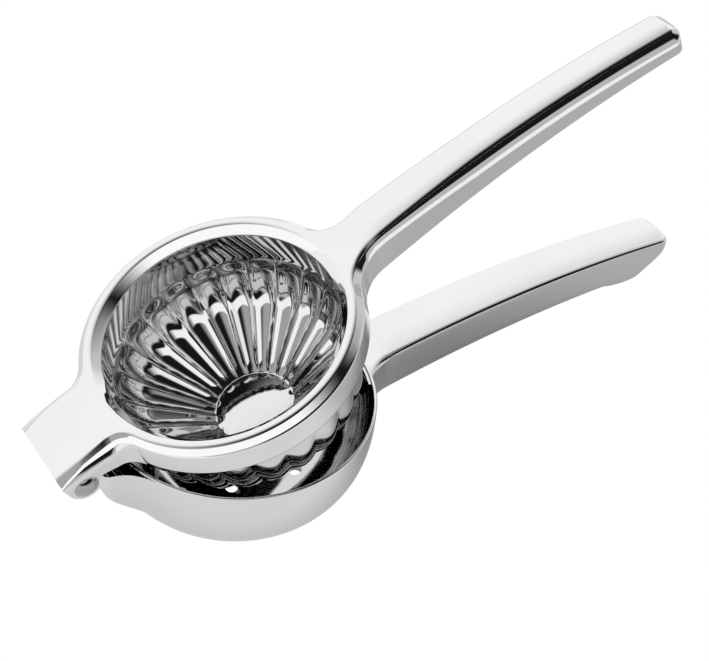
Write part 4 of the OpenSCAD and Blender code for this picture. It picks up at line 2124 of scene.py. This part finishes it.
@dataclass(frozen=True)
class HingeNeck:
    """Channel that grows out of the bowl's side and carries the knuckle.

    Attributes:
        bowl: Gives the bowl's outer radius at a height.
        top: Height of the neck's top.
        end: Height at which the neck has run out into the bowl.
        front: Distance of its front face from the jaws' centre, at the top.
        half_w: Half width at the top.
        corner_r: Radius of its upright corners.
        taper: How much narrower each side is at the end.
        upright: Height under the jaws' level in which the front face stays upright.
        blend: Softness of the blend with the bowl, at the top and at the end.
        knuckle_r: Radius of the knuckle.
        knuckle_w: Half width of the knuckle.
    """

    bowl: Callable[[float], float]
    top: float = -0.6
    end: float = -21.5
    front: float = 47.8
    half_w: float = 12.0
    corner_r: float = 2.0
    taper: float = 2.0
    upright: float = 5.0
    blend: tuple[float, float] = (9.0, 3.0)
    knuckle_r: float = 4.9
    knuckle_w: float = 10.0

    COLUMNS = 96
    ROWS = 40
    ROOF_ROWS = 4
    HALVINGS = 34
    HALF_ANGLE = 46.0

    def front_at(self, z: float) -> float:
        """Gives the distance of the front face from the centre at a height.

        Args:
            z: The height.

        Returns:
            The distance.
        """
        sunk = 0.6
        t = clamp((-z - self.upright) / (-self.end - self.upright))
        return self.front - (self.front - self.bowl(self.end) + sunk) * t * t

    def gap(self, x: float, y: float, z: float) -> float:
        """Gives how far a point is outside the neck and the bowl, blended together.

        Args:
            x: Place along the jaw.
            y: Place across it.
            z: Height.

        Returns:
            The distance, below 0 for a point inside.
        """
        t = clamp(z / self.end)
        half, corner = self.half_w - self.taper * t, self.corner_r
        front = self.front_at(z)
        qx = abs(x + front / 2) - front / 2 + corner
        qy = abs(y) - half + corner
        outside = math.hypot(max(qx, 0.0), max(qy, 0.0)) + min(max(qx, qy), 0.0)
        box, round_end = outside - corner, math.hypot(x, y) - self.bowl(z)
        soft = mix(*self.blend, t)
        h = max(soft - abs(box - round_end), 0.0) / soft
        return min(box, round_end) - h * h * soft / 4

    def reach(self, angle: float, z: float) -> float:
        """Gives the distance of the blended face from the centre, along a direction.

        Args:
            angle: Angle from the jaw's back, in radians.
            z: Height.

        Returns:
            The distance.
        """
        nearest, farthest = 0.8, 1.4
        near, far = self.bowl(z) * nearest, self.front * farthest
        cos, sin = -math.cos(angle), math.sin(angle)
        for _ in range(self.HALVINGS):
            mid = (near + far) / 2
            if self.gap(mid * cos, mid * sin, z) < 0:
                near = mid
            else:
                far = mid
        return near

    def place(self, i: int, j: int) -> Place:
        """Gives a point of the neck's face, whose borders dip into the bowl.

        Args:
            i: Number of the column, from the near side.
            j: Number of the row, from the top.

        Returns:
            The point.
        """
        side_dip, end_dip, border = 0.03, 0.04, 0.2
        s = 2 * i / self.COLUMNS - 1
        angle = math.radians(self.HALF_ANGLE) * s
        z = mix(self.top, self.end, j / self.ROWS)
        r = self.reach(angle, z) - side_dip * ease((abs(s) - 1 + border) / border)
        r -= end_dip * (j == self.ROWS)
        return -r * math.cos(angle), r * math.sin(angle), z

    def back_place(self, i: int, j: int) -> Place:
        """Gives a point of the hidden face within the bowl's wall, joined to the neck's border.

        Args:
            i: Number of the column, from the near side.
            j: Number of the row, from the top.

        Returns:
            The point.
        """
        depth = 0.5
        if i in (0, self.COLUMNS) or j == self.ROWS:
            return self.place(i, j)
        x, y, z = self.place(i, j)
        keep = (self.bowl(z) - depth) / math.hypot(x, y)
        return x * min(1.0, keep), y * min(1.0, keep), z

    def roof_place(self, i: int, j: int) -> Place:
        """Gives a point of the neck's level top."""
        rim, back = self.place(i, 0), self.back_place(i, 0)
        return tuple(mix(a, b, j / self.ROOF_ROWS) for a, b in zip(rim, back))

    def build_web(self) -> bpy.types.Object:
        """Builds the block between the neck's front and the knuckle.

        Returns:
            The block.
        """
        low, high, root, inset = -4.6, 2.6, 1.5, 0.1
        start, end = -STANCE.hinge_x, -self.front + root
        put_down()
        bpy.ops.mesh.primitive_cube_add(
            size=1,
            location=((start + end) / 2, 0, (low + high) / 2),
            scale=(end - start, 2 * self.knuckle_w - 2 * inset, high - low))
        web = latest("web")
        focus(web)
        bpy.ops.object.transform_apply(location=True, rotation=True, scale=True)
        softened(web, 0.4, 3)
        return web

    def build(self) -> bpy.types.Object:
        """Builds the neck, its web and its knuckle.

        Returns:
            The mesh.
        """
        skin = joined(
            draped("neck_channel", self.COLUMNS, self.ROWS, self.place),
            draped("neck_roof", self.COLUMNS, self.ROOF_ROWS, self.roof_place),
            draped("neck_back", self.COLUMNS, self.ROWS, self.back_place),
        )
        close_up(skin)
        put_down()
        bpy.ops.mesh.primitive_cylinder_add(
            vertices=96, radius=self.knuckle_r, depth=2 * self.knuckle_w,
            location=(-STANCE.hinge_x, 0, 0))
        knuckle = latest("knuckle")
        knuckle.rotation_euler = (math.radians(90), 0, 0)
        focus(knuckle)
        bpy.ops.object.transform_apply(location=True, rotation=True, scale=True)
        softened(knuckle, 0.4, 3)
        return joined(skin, knuckle, self.build_web())


# ---- floor, light and camera ----


@dataclass(frozen=True)
class Border:
    """A soft border of a panel of light.

    Attributes:
        along: Direction that the border lies across.
        at: Place of its middle, as a cosine.
        soft: Half of its width.
        inward: Whether the panel lies before the border, and not beyond it.
    """

    along: Place
    at: float
    soft: float
    inward: bool = False


@dataclass(frozen=True)
class Panel:
    """A broad panel of light in the room.

    Attributes:
        glow: Its brightness, where 1 is white.
        borders: Its soft borders.
    """

    glow: float
    borders: tuple[Border, ...]

    def lit(self, wiring: Wiring, look: bpy.types.NodeSocket) -> bpy.types.NodeSocket:
        """Gives the panel's light in a direction.

        Args:
            wiring: The node tree.
            look: The direction.

        Returns:
            The light.
        """
        light: bpy.types.NodeSocket | float = self.glow
        for border in self.borders:
            values = (1.0, 0.0) if border.inward else (0.0, 1.0)
            place = wiring.along(look, border.along)
            side = wiring.eased(place, (border.at, border.soft), *values)
            light = wiring.maths("MULTIPLY", side, light)
        return light


EAST: Place = (1.0, 0.0, 0.0)
NORTH: Place = (0.0, 1.0, 0.0)
UP: Place = (0.0, 0.0, 1.0)
ARCH: Place = (-0.243, 0.371, 0.896)

BACK_WALL = Panel(1.20, (Border(NORTH, 0.25, 0.33), Border(UP, 0.12, 0.05)))
RIGHT_WALL = Panel(0.75, (Border(EAST, 0.45, 0.25), Border(UP, 0.70, 0.20, True),
                          Border(NORTH, -0.35, 0.15)))
LEFT_WALL = Panel(0.50, (Border(EAST, -0.55, 0.25, True), Border(UP, 0.80, 0.12, True),
                         Border(NORTH, -0.65, 0.20)))
SKIRTING = Panel(0.62, (Border(UP, 0.20, 0.03, True),))
LONG_LAMP = Panel(1.30, (Border(ARCH, 0.18, 0.03), Border(ARCH, 0.46, 0.03, True),
                         Border(EAST, 0.22, 0.30, True)))


@dataclass(frozen=True)
class Paper:
    """The paper on the floor as polished metal shows it, with painted shade and a painted shadow in
    its tones.

    Attributes:
        near: Tone of the paper round the object, darker there as painted shade.
        far: Tone further off.
        middle: Centre of the nearer paper, in metres.
        bend: Distance at which the tone changes, and half the change's width.
        shade: Painted shadow under the object, as the share by which it darkens the paper.
        shade_middle: Centre of the shade.
        shade_reach: Reach of the shade along X and Y.
        shade_edge: The shade's edge and half its width, in shares of its reach.
        painted_patch: Tone of the painted shade patch beyond the handles.
        painted_patch_middle: Centre of the painted shade patch.
        painted_patch_edge: Radius of the painted shade patch and half its edge's width.
    """

    near: float = 0.86
    far: float = 1.15
    middle: Point = (0.03, 0.0)
    bend: Point = (0.30, 0.05)
    shade: float = 0.55
    shade_middle: Point = (0.06, 0.0)
    shade_reach: Point = (0.12, 0.06)
    shade_edge: Point = (0.75, 0.4)
    painted_patch: float = 0.55
    painted_patch_middle: Point = (0.27, 0.0)
    painted_patch_edge: Point = (0.215, 0.03)

    def tone(self, wiring: Wiring) -> bpy.types.NodeSocket:
        """Gives the paper's tone at each place of the floor, with painted shade round the object, a
        painted shadow under it and a painted shade patch beyond the handles.

        Args:
            wiring: The node tree.

        Returns:
            The tone.
        """
        here = wiring.add("ShaderNodeTexCoord").outputs["Object"]
        metre = (1.0, 1.0)
        # Painted shade: the paper is darker round the object than further off.
        run = wiring.distance(here, self.middle, metre)
        paper = wiring.eased(run, self.bend, self.near, self.far)
        # Painted shade: a darker patch of paper beyond the handles, seen only in reflections.
        patch_run = wiring.distance(here, self.painted_patch_middle, metre)
        beside = wiring.eased(patch_run, self.painted_patch_edge, 0.0, 1.0)
        raised = wiring.maths("SUBTRACT", paper, self.painted_patch)
        patched = wiring.maths("ADD", wiring.maths("MULTIPLY", raised, beside), self.painted_patch)
        # Painted shadow under the object.
        shade_run = wiring.distance(here, self.shade_middle, self.shade_reach)
        shaded = wiring.eased(shade_run, self.shade_edge, 1 - self.shade, 1.0)
        return wiring.maths("MULTIPLY", patched, shaded)


@dataclass(frozen=True)
class Studio:
    """The plain pale room: a floor, broad panels of soft light and the camera.

    Attributes:
        azimuth: Camera's angle round the object, in degrees.
        elevation: Camera's angle above the level of the rim, in degrees.
        roll: Camera's turn about its own axis, in degrees.
        distance: Distance from the camera to the point that it looks at, in millimetres.
        target: That point, in the lower jaw's frame.
        focal: Focal length in picture widths.
        panels: The panels of light.
        gloom: Light between the panels.
        paper: The paper on the floor.
        floor_r: Radius of the floor, in metres.
        floor_tone: Tone of the floor as the plain light falls on it.
    """

    azimuth: float = -36.93
    elevation: float = 42.75
    roll: float = 6.51
    distance: float = 509.2
    target: Place = (44.59, 6.17, 0.0)
    focal: float = 1684.2 / 709
    panels: tuple[Panel, ...] = (BACK_WALL, RIGHT_WALL, LEFT_WALL, SKIRTING, LONG_LAMP)
    gloom: float = 0.012
    paper: Paper = Paper()
    floor_r: float = 3.0
    floor_tone: float = 0.8

    SENSOR_W = 36.0

    def build_camera(self) -> bpy.types.Object:
        """Puts up the camera.

        Returns:
            The camera.
        """
        az, el, roll = (math.radians(a) for a in (self.azimuth, self.elevation, self.roll))
        back = Vector((math.sin(az) * math.cos(el), -math.cos(az) * math.cos(el), math.sin(el)))
        right = Vector((math.cos(az), math.sin(az), 0))
        up = back.cross(right)
        turned_right = right * math.cos(roll) + up * math.sin(roll)
        turned_up = up * math.cos(roll) - right * math.sin(roll)
        lens = bpy.data.cameras.new("camera")
        lens.sensor_width = self.SENSOR_W
        lens.lens = self.focal * self.SENSOR_W
        camera = bpy.data.objects.new("camera", lens)
        bpy.context.scene.collection.objects.link(camera)
        axes = Matrix((turned_right, turned_up, back)).transposed().to_4x4()
        spot = (Vector(self.target) + Vector((0, 0, STANCE.rim_z)) + back * self.distance) * MM
        camera.matrix_world = Matrix.Translation(spot) @ axes
        bpy.context.scene.camera = camera
        return camera

    def build_floor(self) -> bpy.types.Object:
        """Lays the pale floor.

        Returns:
            The floor.
        """
        put_down()
        bpy.ops.mesh.primitive_circle_add(
            vertices=64, radius=self.floor_r, fill_type="NGON", location=(0, 0, 0))
        floor = latest("floor")
        material = bpy.data.materials.new("pale_floor")
        material.use_nodes = True
        material.cycles.emission_sampling = "NONE"
        wiring = Wiring(material.node_tree)
        matt = wiring.add("ShaderNodeBsdfDiffuse")
        matt.inputs["Color"].default_value = (*[self.floor_tone] * 3, 1)
        mirrored = wiring.add("ShaderNodeEmission")
        # Reflections see the paper's painted tones: painted shade round the object, a painted
        # shadow under it and a painted shade patch beyond the handles. The camera sees plain white.
        wiring.join(self.paper.tone(wiring), mirrored.inputs["Strength"])
        white = wiring.add("ShaderNodeEmission")
        shiny = wiring.seen("Is Glossy Ray", "Is Transmission Ray")
        backdrop = wiring.swapped(shiny, matt, mirrored)
        whole = wiring.swapped(wiring.seen("Is Camera Ray"), backdrop, white)
        out = wiring.add("ShaderNodeOutputMaterial")
        wiring.join(whole.outputs["Shader"], out.inputs["Surface"])
        floor.data.materials.append(material)
        return floor

    def build_sky(self) -> None:
        """Makes the panels of soft light that the object stands between."""
        world = bpy.data.worlds.new("studio")
        bpy.context.scene.world = world
        world.use_nodes = True
        wiring = Wiring(world.node_tree)
        look = wiring.add("ShaderNodeTexCoord").outputs["Generated"]
        light: bpy.types.NodeSocket | float = self.gloom
        for panel in self.panels:
            light = wiring.maths("MAXIMUM", panel.lit(wiring, look), light)
        room = wiring.add("ShaderNodeBackground")
        room.inputs["Color"].default_value = (1, 1, 1, 1)
        wiring.join(light, room.inputs["Strength"])
        white = wiring.add("ShaderNodeBackground")
        white.inputs["Color"].default_value = (1, 1, 1, 1)
        whole = wiring.swapped(wiring.seen("Is Camera Ray"), room, white)
        out = wiring.add("ShaderNodeOutputWorld")
        wiring.join(whole.outputs["Shader"], out.inputs["Surface"])

    def build(self) -> None:
        """Sets up the room."""
        self.build_floor()
        self.build_sky()
        self.build_camera()
        bpy.context.scene.view_settings.view_transform = "Standard"


def dress_washers() -> None:
    """Gives the two thrust washers, which keep their own solids, their brushed finish."""
    for name in ("near_washer", "far_washer"):
        WASHER_STEEL.dress(frame["nodes"][name])


def main() -> None:
    """Builds the squeezer's pieces in order, and the room round them."""
    logging.basicConfig(level=logging.INFO, format="%(name)s: %(message)s")
    put_down()
    pieces = UpperJaw().build() + LowerJaw().build()
    dress_washers()
    Studio().build()
    LOG.info("%d pieces", len(pieces))


if __name__ == "__main__":
    main()
